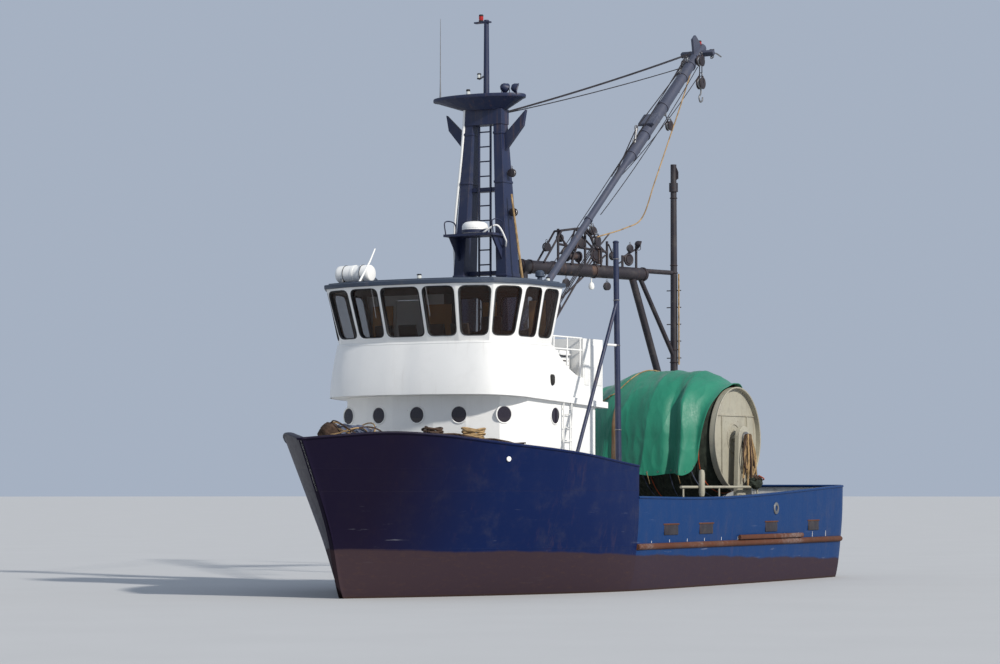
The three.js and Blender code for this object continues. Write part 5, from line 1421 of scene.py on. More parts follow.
class TRAWLER_OT_boom(bpy.types.Operator):
    """The boom with its collars, head plates, lamps and blocks, and the tackles that hang from it"""
    bl_idname = "trawler.boom"
    bl_label = "Boom"

    def execute(self, context):
        sizes = context.scene.trawler_sizes
        self.spar()
        self.tackles(sizes)
        self.stays(sizes)
        return {"FINISHED"}

    def spar(self):
        """The spar, thin below and thick above, with its heel, collars, head plates, ribs and eyes."""
        rows = [[0.0, 0.17], [0.08, 0.17], [0.08, 0.6], [0.075, 1.5], [0.075, 6.9], [0.126, 7.25],
                [0.13, 9.3], [0.115, 11.3], [0.11, 11.78], [0.1, 11.8], [0.0, 11.8]]
        spar = turned(rows, [0, 0, 0], X, 32)
        hub = [[0.0374, -0.085], [0.08, -0.085], [0.088, -0.078], [0.088, 0.078], [0.08, 0.085],
               [0.0374, 0.085], [0.0374, -0.085]]
        heel = [turned(hub, [0, 0, 0], Y, 32), slab([0.06, -0.078, -0.07], [0.26, 0.078, 0.07], 0.012)]
        collars = [turned(band(r, r + 0.02, a - 0.03, a + 0.03), [0, 0, 0], X, 32)
                   for a, r in ((0.62, 0.077), (2.44, 0.073), (4.77, 0.073), (7.28, 0.122), (8.1, 0.125),
                                (9.24, 0.127), (10.5, 0.118), (11.0, 0.115))]
        head = [plate([[11.25, 0], [11.78, 0], [11.65, -0.42], [11.48, -0.42]], -0.035, 0.035, "xz", 0.01),
                plate([[11.35, 0.1], [11.79, 0.1], [11.7, 0.26], [11.5, 0.26]], -0.03, 0.03, "xz", 0.01),
                slab([11.45, -0.42, -0.06], [11.56, 0.42, 0.06], 0.015),
                slab([8.3, -0.2, -0.18], [8.7, 0.2, -0.1], 0.02)]
        ribs = [plate([[a, 0.11], [a + 0.3, 0.11], [a + 0.15, 0.19]], -0.01, 0.01, "xz", 0.003)
                for a in np.arange(7.5, 10.2, 0.62)]
        eyes = [hoop([a, 0, z], Y, 0.05, 0.014, 20, 8)
                for a, z in ((2.44, 0.12), (4.77, 0.12), (9.24, 0.17), (10.5, -0.155), (11.0, -0.16),
                             (7.6, -0.165), (11.6, 0.29))]
        piece("boom_spar", {"boom_paint": [on_boom(f) for f in [spar] + heel + collars + head + ribs],
                            "bare_steel": [on_boom(f) for f in eyes]}, "derrick", stands_for=["boom"],
              slot="gear_paint")

    def tackles(self, sizes):
        """Lamps, blocks, hook, the slack rope under the spar, and the wires led along it."""
        parts = [lamp([-7.24, 0, 12.29], 0.045, 0.12, "red_lens"),
                 floodlight([-7.6, 0.14, 12.16], [-0.7, 0.7, -0.25], 0.09, "gear_paint"),
                 tackle_block([-7.29, 0.0, 11.42], 0.34), tackle_block([-6.89, 0.2, 11.87], 0.3),
                 tackle_block([-6.89, -0.2, 11.8], 0.3), tackle_block(boom_point(9.24, 0, 0.5), 0.28)]
        hook = [[-7.29, 0, 11.3], [-7.29, 0, 11.18], [-7.2, 0, 11.08], [-7.26, 0, 10.98], [-7.36, 0, 11.02],
                [-7.38, 0, 11.1]]
        horn = [[-7.4, 0, 12.1], [-7.9, 0.05, 12.2], [-8.15, 0.1, 12.14]]
        steel = [pipe(hook, 0.02, 8, 4), pipe(horn, 0.018, 8, 4),
                 tube([[-7.24, 0, 12.12], [-7.24, 0, 12.3]], 0.02, 8),
                 tube([[-7.5, 0.1, 12.15], [-7.62, 0.14, 12.05]], 0.02, 8)]
        lines = [wire([-7.29, 0.03, 11.85], [-7.29, 0.03, 11.5], 0.012),
                 wire([-7.29, -0.03, 11.85], [-7.29, -0.03, 11.5], 0.012)]
        led = boom_point(9.24, 0.05, 0.6)
        ropes = [wire([-6.685, 0.05, 11.6], led, sizes.rope, 0.03),
                 tube(spline([led, [-4.9, 0.05, 8.9], [-4.3, 0.05, 8.05], [-3.5, 0.05, 7.75],
                              boom_point(4.77, 0.05, 0.45)], 40), sizes.rope, 8)]
        block_a, block_b = boom_point(4.77, 0.0, 0.56), boom_point(2.44, 0.0, 0.62)
        parts += [tackle_block(block_a, 0.3), tackle_block(block_b, 0.3)]
        for shift in (-0.04, 0.0, 0.04):
            lines.append(wire(block_a + Y * shift, block_b + Y * shift, 0.011))
        hangs = [wire(boom_point(4.77, 0, 0.15), block_a, 0.012),
                 wire(boom_point(2.44, 0, 0.15), block_b, 0.012),
                 wire(boom_point(9.24, 0, 0.2), boom_point(9.24, 0, 0.5), 0.012)]
        # Wires led along the spar, over and under it
        lines += [wire(boom_point(a, y, below), boom_point(b, y, low), 0.009, sag)
                  for a, b, y, below, low, sag in ((11.2, 5.2, 0.06, 0.17, 0.16, 0.12),
                                                   (11.3, 2.5, -0.05, -0.2, -0.12, 0.05),
                                                   (10.9, 6.2, 0.02, -0.3, -0.16, 0.04),
                                                   (11.4, 6.8, -0.08, 0.5, 0.18, 0.1))]
        fitting = np.array([-4.12, 0, 10.03])
        steel += [tube([boom_point(7.6, 0, -0.12), fitting], 0.03, 10), hoop(fitting, Y, 0.06, 0.016, 18, 8)]
        lines += [wire(fitting, [-6.34, 0, 11.66], 0.012), wire(fitting, boom_point(6.4, 0, -0.07), 0.012)]
        piece("boom_tackles", gather({"bare_steel": steel, "wire_rope": lines + hangs, "tan_rope": ropes},
                                     *parts), "derrick")

    def stays(self, sizes):
        """Wires from the mast, between the swivel and the boom, drawn where the boom stands now and carried
        by no body.
        """
        mast_eye = np.array([MAST_X - 0.22, 0, 9.62])
        for name, end in (("topping_lift", [-6.685, 0, 12.02]), ("upper_stay", [-6.34, 0, 11.66])):
            end = np.array(end)
            strands = [wire(mast_eye + Y * y, end + Y * y, sizes.wire, 0.05)
                       for y in ((-0.05, 0.05) if name == "topping_lift" else (0.0,))]
            stay = piece(name, {"wire_rope": strands}, ride=False)
            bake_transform(stay)


GANTRY_POST = np.array([*GANTRY["foot"], 0])
GANTRY_RUN = unit(GANTRY_POST - POLE)
GANTRY_ACROSS = np.cross(Z, GANTRY_RUN)


def on_run(along, height, off=0.0):
    """Place along the gantry's beam from the after pole, at a height and off to one side."""
    return POLE + GANTRY_RUN * along + GANTRY_ACROSS * off + Z * height


class TRAWLER_OT_poles(bpy.types.Operator):
    """The gantry with its ties to the after pole, that pole, and the port post, with blocks and stays"""
    bl_idname = "trawler.poles"
    bl_label = "Gantry and poles"

    def execute(self, context):
        self.gantry_frame()
        self.gantry_fittings()
        self.after_pole()
        self.port_post()
        return {"FINISHED"}

    def after_pole(self):
        """The pole with its pegs, clamps and foot, and the rope led down it."""
        px, py, _ = POLE
        pole = [tube([[px, py, WORKDECK], [px, py, 9.7]], [0.1, 0.07], 28),
                tube([[px, py, 9.05], [px, py, 9.26]], 0.105, 24),
                plate([[py + 0.02, 9.3], [py + 0.13, 9.36], [py + 0.13, 9.52], [py + 0.05, 9.698],
                       [py - 0.03, 9.698]], px - 0.01, px + 0.01, "yz", 0.003),
                slab([px - 0.14, py - 0.14, WORKDECK + 0.008], [px + 0.14, py + 0.14, WORKDECK + 0.05],
                     0.01)]
        pegs = [tube([[px, py - 0.19, z], [px, py + 0.19, z]], 0.012, 6) for z in np.arange(1.9, 6.8, 0.4)]
        clamps = [hoop([px, py, z], Z, 0.082, 0.012, 20, 6) for z in (7.3, 8.9)]
        pipe_line = [tube([[px + 0.02, -1.16, 4.94], [px + 0.02, -1.16, 7.09]], 0.022, 8)]
        piece("after_pole", {"gear_paint": pole + pegs + clamps, "tan_rope": pipe_line},
              stands_for=["aft_pole"])

    def port_post(self):
        """The post at the port rail with its raking stay, clips and step."""
        post = [tube([[1.85, 2.8, FOREDECK + 0.03], [1.85, 2.74, 6.93]], [0.062, 0.055], 24),
                tube([[3.55, 2.6, FOREDECK + 0.03], [1.85, 2.76, 5.75]], 0.038, 16),
                *(slab([x - e, y - e, FOREDECK + LIFT], [x + e, y + e, FOREDECK + 0.05], 0.01)
                  for x, y, e in ((1.85, 2.8, 0.11), (3.55, 2.6, 0.1))),
                turned([[0, 6.92], [0.062, 6.92], [0.066, 6.94], [0.04, 6.965], [0, 6.97]], [1.85, 2.74, 0],
                       Z, 20)]
        clips = [hoop([1.85, 2.8 - (z - 2) * 0.0122, z], Z, 0.062, 0.009, 20, 6)
                 for z in (3.2, 4.88, 5.78, 6.6)]
        step = tube([[1.85, 2.77, 4.88], [2.25, 2.725, 4.88]], 0.025, 12)
        piece("port_post", {"mast_paint": post, "bare_steel": clips, "white_paint": [step]},
              stands_for=["side_post"])

    def gantry_frame(self):
        """Raking beam over its post, tied to the after pole by an arm and two struts."""
        post, run, z, r = GANTRY_POST, GANTRY_RUN, GANTRY["z"], GANTRY["radius"]
        a, b = GANTRY["near"], GANTRY["far"]
        beam = turned([[0, a], [r - 0.012, a], [r, a + 0.012], [r, b - 0.012], [r - 0.012, b], [0, b]],
                      on_run(0, z), run, 36)
        collars = [turned(band(r - 0.01, r + 0.018, c, c + 0.05), on_run(0, z), run, 36)
                   for c in (1.02, 2.6, 3.9, 4.62, 4.86)]
        ties = [tube([on_run(0.05, 7.12), on_run(a + 0.01, 7.12)], 0.055, 20),
                tube([on_run(1.184, z), on_run(0, 5.125)], 0.055, 20),
                tube([on_run(1.419, z), on_run(0, 3.32)], 0.085, 24)]
        ties += [hoop([*POLE[:2], h], Z, c, 0.014, 24, 6)
                 for h, c in ((3.16, 0.1), (3.6, 0.098), (5.0, 0.094), (5.3, 0.093), (7.12, 0.086))]
        leg = [tube([post + Z * (WORKDECK + 0.03), post + Z * z], 0.095, 28),
               slab(post + [-0.14, -0.14, WORKDECK + LIFT], post + [0.14, 0.14, WORKDECK + 0.06], 0.01)]
        leg += [plate([[post[1] - 0.13, WORKDECK + 0.06], [post[1] + 0.13, WORKDECK + 0.06],
                       [post[1], WORKDECK + 0.34]], post[0] - 0.008, post[0] + 0.008, "yz", 0.002)]
        leg += bolts([post + [e, f, WORKDECK + 0.058] for e in (-0.11, 0.11) for f in (-0.11, 0.11)], Z,
                     0.02, 0.02)
        piece("gantry_frame", {"gear_paint": [beam] + collars + ties + leg},
              stands_for=["gantry_beam", "gantry_arm", "gantry_post", "gantry_strut_upper",
                          "gantry_strut_lower"])

    def gantry_fittings(self):
        """What the beam carries: uprights and rails, sheaves, blocks, lamps, wire loops and stays."""
        run, across, z = GANTRY_RUN, GANTRY_ACROSS, GANTRY["z"]
        uprights = ((3.75, 7.95), (3.3, 7.55), (2.9, 8.1), (2.2, 7.75), (1.7, 7.45), (1.25, 7.7))
        posts = [tube([on_run(c, z + 0.1), on_run(c, top)], 0.03, 10) for c, top in uprights]
        posts += [tube([on_run(3.75, 7.6), on_run(2.2, 7.5)], 0.028, 10),
                  tube([on_run(2.9, 7.98), on_run(2.2, 7.45)], 0.022, 8),
                  tube([on_run(1.7, 7.4), on_run(1.25, 7.62)], 0.022, 8),
                  tube([on_run(3.75, 7.85), on_run(3.1, 7.2)], 0.022, 8)]
        wheels = ((2.55, 7.42, 0.15), (3.48, 7.4, 0.13), (1.5, 7.36, 0.12))
        sheaves = [hoop(on_run(c, h), across, size, 0.03, 28, 8) for c, h, size in wheels]
        sheaves += [turned(rod(size - 0.03, -0.03, 0.03), on_run(c, h), across, 24) for c, h, size in wheels]
        loops = [pipe([on_run(c, h) + across * 0.05, on_run(c - 0.35, h - 0.42),
                       on_run(c - 0.8, h - 0.1) - across * 0.04], 0.018, 8, 8)
                 for c, h in ((3.75, 7.88), (2.9, 8.02), (2.2, 7.68), (3.3, 7.5))]
        parts = [tackle_block(on_run(c, h), size, across) for c, h, size in (
            (3.05, 7.66, 0.26), (2.0, 7.42, 0.24), (2.2, 6.7, 0.22), (3.5, 6.72, 0.22))]
        parts += [floodlight(on_run(c, h, 0.1), [-0.7, 0.7, -0.4], 0.09, "gear_paint")
                  for c, h in ((3.3, 7.62), (1.25, 7.72))]
        frames = [tube([on_run(c, h, e), on_run(d, k, e)], 0.024, 8) for e in (-0.12, 0.12)
                  for c, h, d, k in ((3.75, 7.9, 3.1, 8.0), (3.1, 8.0, 2.5, 7.55), (3.45, 7.15, 3.1, 8.0),
                                     (2.5, 7.55, 2.5, 7.15), (4.3, 7.15, 3.75, 7.9))]
        frames += [tube([on_run(c, h, -0.13), on_run(c, h, 0.13)], 0.022, 8)
                   for c, h in ((3.75, 7.9), (3.1, 8.0), (2.5, 7.55), (3.6, 7.4))]
        frames.append(turned([[0, -0.2], [0.13, -0.2], [0.13, -0.17], [0.08, -0.16], [0.08, 0.16],
                              [0.13, 0.17], [0.13, 0.2], [0, 0.2]], on_run(3.3, 7.34), run, 24))
        parts += [tackle_block(on_run(c, h, e), size, across)
                  for c, h, e, size in ((2.75, 7.95, 0.1, 0.24), (3.6, 7.75, -0.1, 0.22),
                                        (1.5, 7.62, 0.05, 0.2), (2.35, 7.3, -0.12, 0.22),
                                        (4.2, 7.5, 0.1, 0.24))]
        bulb = [[0, -0.1], [0.05, -0.09], [0.07, -0.04], [0.06, 0.03], [0.03, 0.07], [0, 0.07]]
        hung = [turned(bulb, on_run(2.7, 6.7), Z, 20), tube([on_run(2.7, 6.76), on_run(2.7, 6.9)], 0.014, 8)]
        stays = [wire(on_run(c, h), on_run(GANTRY["post"], low), 0.022)
                 for c, h, low in ((2.45, 7.69, 4.59), (2.257, 7.42, 5.49))]
        piece("gantry_fittings", gather({"gear_paint": posts + frames + sheaves + loops + stays,
                                         "white_paint": hung}, *parts))


class TRAWLER_OT_reel(bpy.types.Operator):
    """Net reel with its stands, the wound net and the tarp over it"""
    bl_idname = "trawler.reel"
    bl_label = "Net reel and tarp"

    def execute(self, context):
        self.drum()
        self.stands()
        self.net()
        self.cover(context.scene.trawler_sizes)
        self.side_ropes()
        self.rail_bundle()
        return {"FINISHED"}

    def drum(self):
        """The reel's shaft, barrel and rimmed flanges, with ribs, seams and the bolts of its hubs."""
        r, half = REEL_RADIUS, REEL_HALF
        rows = [[0, -1.79], [0.07, -1.79], [0.075, -1.785], [0.075, -half], [r - 0.035, -half],
                [r - 0.03, -half - 0.005], [r - 0.03, -half - 0.105], [r - 0.025, -half - 0.11],
                [r - 0.005, -half - 0.11], [r, -half - 0.105], [r, -half + 0.03], [r - 0.01, -half + 0.04],
                [0.23, -half + 0.04]]
        rows += [[a, -b] for a, b in rows[::-1]]
        drum = turned(rows, REEL, Y, 72)
        rims, ribs, seams = [], [], []
        for side in (1, -1):
            rims.append(hoop(REEL + Y * side * (half + 0.1), Y, r - 0.008, 0.016, 72, 8))
            ribs += [slab(REEL + [e - 0.008, side * half - 0.002, -1.0],
                          REEL + [e + 0.008, side * (half + 0.03), 0.5], 0.003) for e in (-0.62, 0.62)]
            rims.append(hoop(REEL + Y * side * (half + 0.004), Y, 0.32, 0.014, 40, 6))
            seams.append(slab(REEL + [-1.0, side * half - 0.003, 0.5],
                              REEL + [1.0, side * (half + 0.02), 0.525], 0.003))
            ribs += bolts([REEL + [0.2 * math.cos(a), side * half, 0.2 * math.sin(a)]
                           for a in np.arange(8) * math.pi / 4], Y * side)
        piece("reel_drum", {"reel_paint": [drum] + rims + ribs + seams}, "reel", stands_for=["net_reel"])

    def stands(self):
        """Two stands with bearings and ribs, and the motor with its hose."""
        stands, caps = [], []
        arc = np.linspace(0, np.pi, 25)
        top = np.stack([REEL[0] + 0.28 * np.cos(arc), REEL[2] + 0.28 * np.sin(arc)], 1)
        outline = np.concatenate([[[REEL[0] - 0.42, WORKDECK + LIFT], [REEL[0] + 0.42, WORKDECK + LIFT]],
                                  top])
        for side in (1, -1):
            y = side * STAND_Y
            stands += [plate(outline, y - 0.055, y + 0.055, "xz", 0.008),
                       slab([REEL[0] - 0.5, y - 0.16, WORKDECK + 0.008],
                            [REEL[0] + 0.5, y + 0.16, WORKDECK + 0.035], 0.008)]
            for e in (-0.3, 0.3):
                stands.append(slab([REEL[0] + e - 0.012, y, WORKDECK + 0.03],
                                   [REEL[0] + e + 0.012, y + side * 0.13, 1.9], 0.005))
            caps.append(turned([[0.078, 0.05], [0.15, 0.05], [0.15, 0.1], [0.12, 0.112], [0.078, 0.112],
                                [0.078, 0.05]], [REEL[0], y, REEL[2]], Y * side, 32))
        motor = [turned([[0, 0], [0.14, 0], [0.14, 0.26], [0.1, 0.3], [0, 0.3]], [REEL[0], -1.8, REEL[2]],
                        -Y, 24)]
        hoses = [pipe([[REEL[0] + 0.05, -2.0, 3.0], [REEL[0] + 0.25, -2.05, 2.2],
                       [REEL[0] + 0.2, -1.95, 1.0]], 0.022, 8)]
        piece("reel_pedestals", {"reel_paint": stands, "bare_steel": caps + motor, "black_rubber": hoses},
              stands_for=["reel_stand_port", "reel_stand_starboard"])

    def side_ropes(self):
        """Ropes hung over the port stand, and the rail beside the reel with its float."""
        rng = np.random.default_rng(4)
        x, z = REEL[0], REEL[2]
        ropes = []
        for k in range(15):
            e, low = rng.uniform(-1, 1), 2.0 + 0.5 * rng.random()
            lean, y = 0.13 * e - 0.1, 1.84 + 0.03 * (k % 3)
            ropes.append(pipe([[x + 0.1 * e, y - 0.02, z - 0.1],
                               [x + 0.12 * e, y - 0.01, z + 0.1 - 0.06 * e * e],
                               [x + 0.15 * e, y, z - 0.05], [x + 0.2 * e + lean * 0.5, y + 0.02, z - 0.5],
                               [x + 0.23 * e + lean, y, low]], rng.uniform(0.014, 0.026), 8, 6))
        loops = [pipe([[x - 0.1 + 0.1 * k, 1.86, z + 0.1], [x - 0.3 + 0.12 * k, 1.9, z - 0.45],
                       [x - 0.12 + 0.14 * k, 1.89, low], [x + 0.05 + 0.12 * k, 1.88, z - 0.4],
                       [x + 0.02 + 0.05 * k, 1.86, z + 0.08]], 0.02, 8, 8)
                 for k, low in enumerate((2.3, 2.12, 2.45))]
        rail = [tube([[-6.3, 1.92, 2.06], [-2.45, 1.95, 2.06]], 0.03, 10)]
        rail += [tube([[x, 1.93, 2.06], [x, 1.93, WORKDECK]], 0.022, 8) for x in (-6.2, -4.3, -2.6)]
        buoy = turned([[0, -0.3], [0.05, -0.28], [0.065, -0.2], [0.065, 0.2], [0.05, 0.28], [0, 0.3]],
                      [-3.28, 2.03, 2.14], Z, 20)
        piece("reel_side_ropes", {"tan_rope": ropes[::2] + loops[:2], "brown_rope": ropes[1::2] + loops[2:],
                                  "reel_paint": rail + [buoy]})

    def rail_bundle(self):
        """A bundle of netting over the rail: a lumpy ball with ropes round it."""
        ball = ball_of(60, 31)
        rough = 1 + 0.14 * wave(31, *(4.0 * ball.transpose(2, 0, 1)))
        heap = grid(np.array([-6.05, 1.97, 2.15]) + ball * rough[..., None] * [0.26, 0.13, 0.14],
                    around=True, ends=True, size=(3, 5))
        wraps = [pipe([[-6.28 + 0.12 * k, 1.97, 2.2], [-6.2 + 0.12 * k, 2.1, 2.24],
                       [-6.12 + 0.12 * k, 2.0, 2.32]], 0.014, 8, 5) for k in range(4)]
        piece("rail_bundle", {"net_twine": [heap], "orange_rope": wraps[:1], "brown_rope": wraps[1:]})

    def net(self):
        """Radius over the shaft from the rows of the roll, with lumps from uneven waves."""
        y = np.linspace(-1.457, 1.457, 110)
        a = np.linspace(0, 2 * np.pi, 181)[:-1]
        row = [[-1.46, 1.09], [-1.15, 1.3], [-0.75, 1.42], [-0.3, 1.47], [0.3, 1.47], [0.75, 1.42],
               [1.15, 1.3], [1.46, 1.09]]
        r = on_curve(row, y)[:, None] - 0.02 + 0.02 * wave(3, 9 * y[:, None], 4 * np.cos(a)[None],
                                                           4 * np.sin(a)[None])
        r += 0.008 * np.sin(60 * y[:, None] + 3 * a[None])
        r = np.concatenate([np.full((1, 180), 0.24), r, np.full((1, 180), 0.24)])
        y = np.concatenate([y[:1], y, y[-1:]])
        points = np.stack([r * np.cos(a), np.broadcast_to(y[:, None], r.shape), r * np.sin(a)], -1) + REEL
        roll = grid(points, around=True, ends=True, size=(30, 60))
        strands = []
        t = np.linspace(0, 2 * np.pi, 90)
        for k in range(14):
            place = -1.25 + 2.5 * k / 13 + 0.05 * np.sin(3 * t + k)
            rad = on_curve(row, place) + 0.008
            strands.append(tube(np.stack([rad * np.cos(t), place, rad * np.sin(t)], 1) + REEL, 0.011, 6))
        piece("net_roll", {"net_twine": [roll], "blue_rope": strands[::3], "orange_rope": strands[1::6]},
              "reel", stands_for=["wound_net"])

    def draped(self, across, depth):
        """Middle of the cloth over the roll: from the front hem straight up to the shaft's height, over the
        top and down to the back hem, stood off by folds that deepen towards the hems. Each row has one
        place along the reel. Also the turn about the shaft, the drop below it, and the mean run."""
        hems = [[-1.64, 1.19, 0.78, 0.3], [-1.44, 1.21, 0.84, 0.24], [-1.15, 1.35, 0.77, 0.2],
                [-0.75, 1.46, 0.84, 0.13], [-0.3, 1.51, 0.77, 0.16], [0.3, 1.51, 0.83, 0.13],
                [0.75, 1.46, 0.78, 0.17], [1.15, 1.35, 0.82, 0.2], [1.44, 1.21, 0.68, 0.3],
                [1.6, 1.19, 0.5, 0.35]]
        y, radius, front, back = np.array(hems).T
        r, front, back = (on_curve(np.stack([y, v], 1), across)[:, None] for v in (radius, front, back))
        t = np.linspace(0, 1, 150)[None, :]
        rear = np.pi - np.arcsin(np.clip(back / r, 0, 0.9))
        total = front + rear * r
        s = t * total
        turn = np.clip((s - front) / r, 0, None)
        drop = np.clip(front - s, 0, None)
        hang = np.clip(drop / 0.8, 0, 1)
        tail = np.clip((turn - 2.0) / 0.9, 0, 1)
        edge = on_curve([[-0.8, 1.2], [-0.5, 1.25], [0, 1.34], [0.6, 1.46], [1.0, 1.54], [1.5, 1.61],
                         [1.8, 1.56], [2.1, 1.46], [3, 1.4]], turn - drop)
        yy = np.broadcast_to(across[:, None], s.shape)
        yy = np.where(yy > 1, 1 + (yy - 1) * (edge - 1) / 0.6, yy)
        slant = 0.35 * np.sin(1.3 * yy + 0.8) * (1 - turn / 3)
        fold = 1 - np.abs(np.sin(3.1 * (yy + slant * 0.5) + 1.4 * wave(11, 1.1 * yy, 0.35 * s))) ** 0.6
        broad, fine = (np.abs(wave(seed, a * yy, b * s)) ** 0.7
                       for seed, a, b in ((12, 3.2, 1.3), (15, 8, 3.6)))
        crease = 1 - 2.2 * broad + 0.45 * (1 - 2 * fine)
        lift = depth * (0.2 + 0.35 * np.exp(-((turn - 1.2) / 0.6) ** 2) + 1.0 * hang + 0.5 * tail) * fold
        lift = lift + 0.02 * (crease + 1.2) + 0.06 * hang * (0.5 + 0.5 * wave(17, 1.8 * yy, 0.7 * s))
        lift = lift + 0.035 * np.clip(1.4 - turn, 0, 1) * (1 - np.abs(wave(23, 5.5 * yy, 0.9 * s)) ** 0.6)
        # A ridge runs down the front near the port end, beside a valley
        near = yy - 0.98 - 0.05 * np.sin(2.2 * s) - 0.04 * wave(29, 2.6 * s, 0 * yy)
        deep = np.clip((1.2 - turn) / 0.7, 0, 1)
        lift = lift + deep * (0.05 + 0.1 * np.exp(-(near / 0.12) ** 2)
                              - 0.13 * np.exp(-((near + 0.26) / 0.15) ** 2))
        out = r + np.maximum(lift, 0.004)
        sway = 0.015 * wave(19, 2 * s, across[:, None]) * (hang + tail)
        points = np.stack([np.where(drop > 0, out, out * np.cos(turn)),
                           np.clip(yy + sway, -TARP_REACH, TARP_REACH),
                           np.where(drop > 0, -drop, out * np.sin(turn))], -1) + REEL
        return points, turn, drop, float(total.mean())

    def cover(self, sizes):
        """The cloth, a wall thick all over, and what holds it."""
        across = np.linspace(TARP_STARBOARD, TARP_PORT, 260)
        points, turn, drop, run = self.draped(across, sizes.fold)
        normal = unit(np.cross(np.gradient(points, axis=0), np.gradient(points, axis=1)))
        normal *= np.sign((normal * (points - REEL) * [1, 0, 1]).sum(-1, keepdims=True))
        cloth = wall_form(points + normal * sizes.cloth / 2, points - normal * sizes.cloth / 2)
        cloth["uv"] = cloth["uv"] * [TARP_PORT - TARP_STARBOARD, 5.0]
        tarp = piece("tarp_cover", {"tarp_cloth": [cloth]}, "reel", stands_for=["tarp"], angle=80)
        self.lashings(points, normal, across, turn, drop)

    def lashings(self, points, normal, across, turn, drop):
        """A rope over the top and down the front, a strap down the front, and eyes along the hem."""
        rows = np.arange(len(across))
        way = on_curve([[-1.17, 0.631], [-0.77, 0.873], [-0.52, 1.571], [-0.2, 2.3]], across)
        column = np.abs(turn - way[:, None]).argmin(1)
        kept = rows[(across > -1.3) & (across < -0.2)][::4]
        bands = [tube(spline((points + normal * 0.026)[kept, column[kept]], 60), 0.013, 8)]
        low, high = np.abs(across + 0.74).argmin(), np.abs(across + 0.6).argmin()
        strip = slice(low, high + 1), slice(int(np.abs(drop[low] - 0.5).argmin()),
                                            int(np.abs(turn[low] - 0.5).argmin()))
        strap = wall_form(points[strip] + normal[strip] * 0.022, points[strip] + normal[strip] * 0.01)
        eyes = [hoop(points[c, 2] + X * 0.008, X, 0.018, 0.005, 14, 6) for c in range(6, 250, 20)]
        lash = [pipe([points[c, 2] + X * 0.01, points[c, 2] + [0.03, 0.05, -0.12],
                      points[c, 2] + [-0.1, 0.02, -0.26]], 0.007, 6, 4) for c in range(26, 236, 60)]
        piece("tarp_lashings", {"tan_rope": bands + lash, "wood": [strap], "bare_steel": eyes}, "reel")


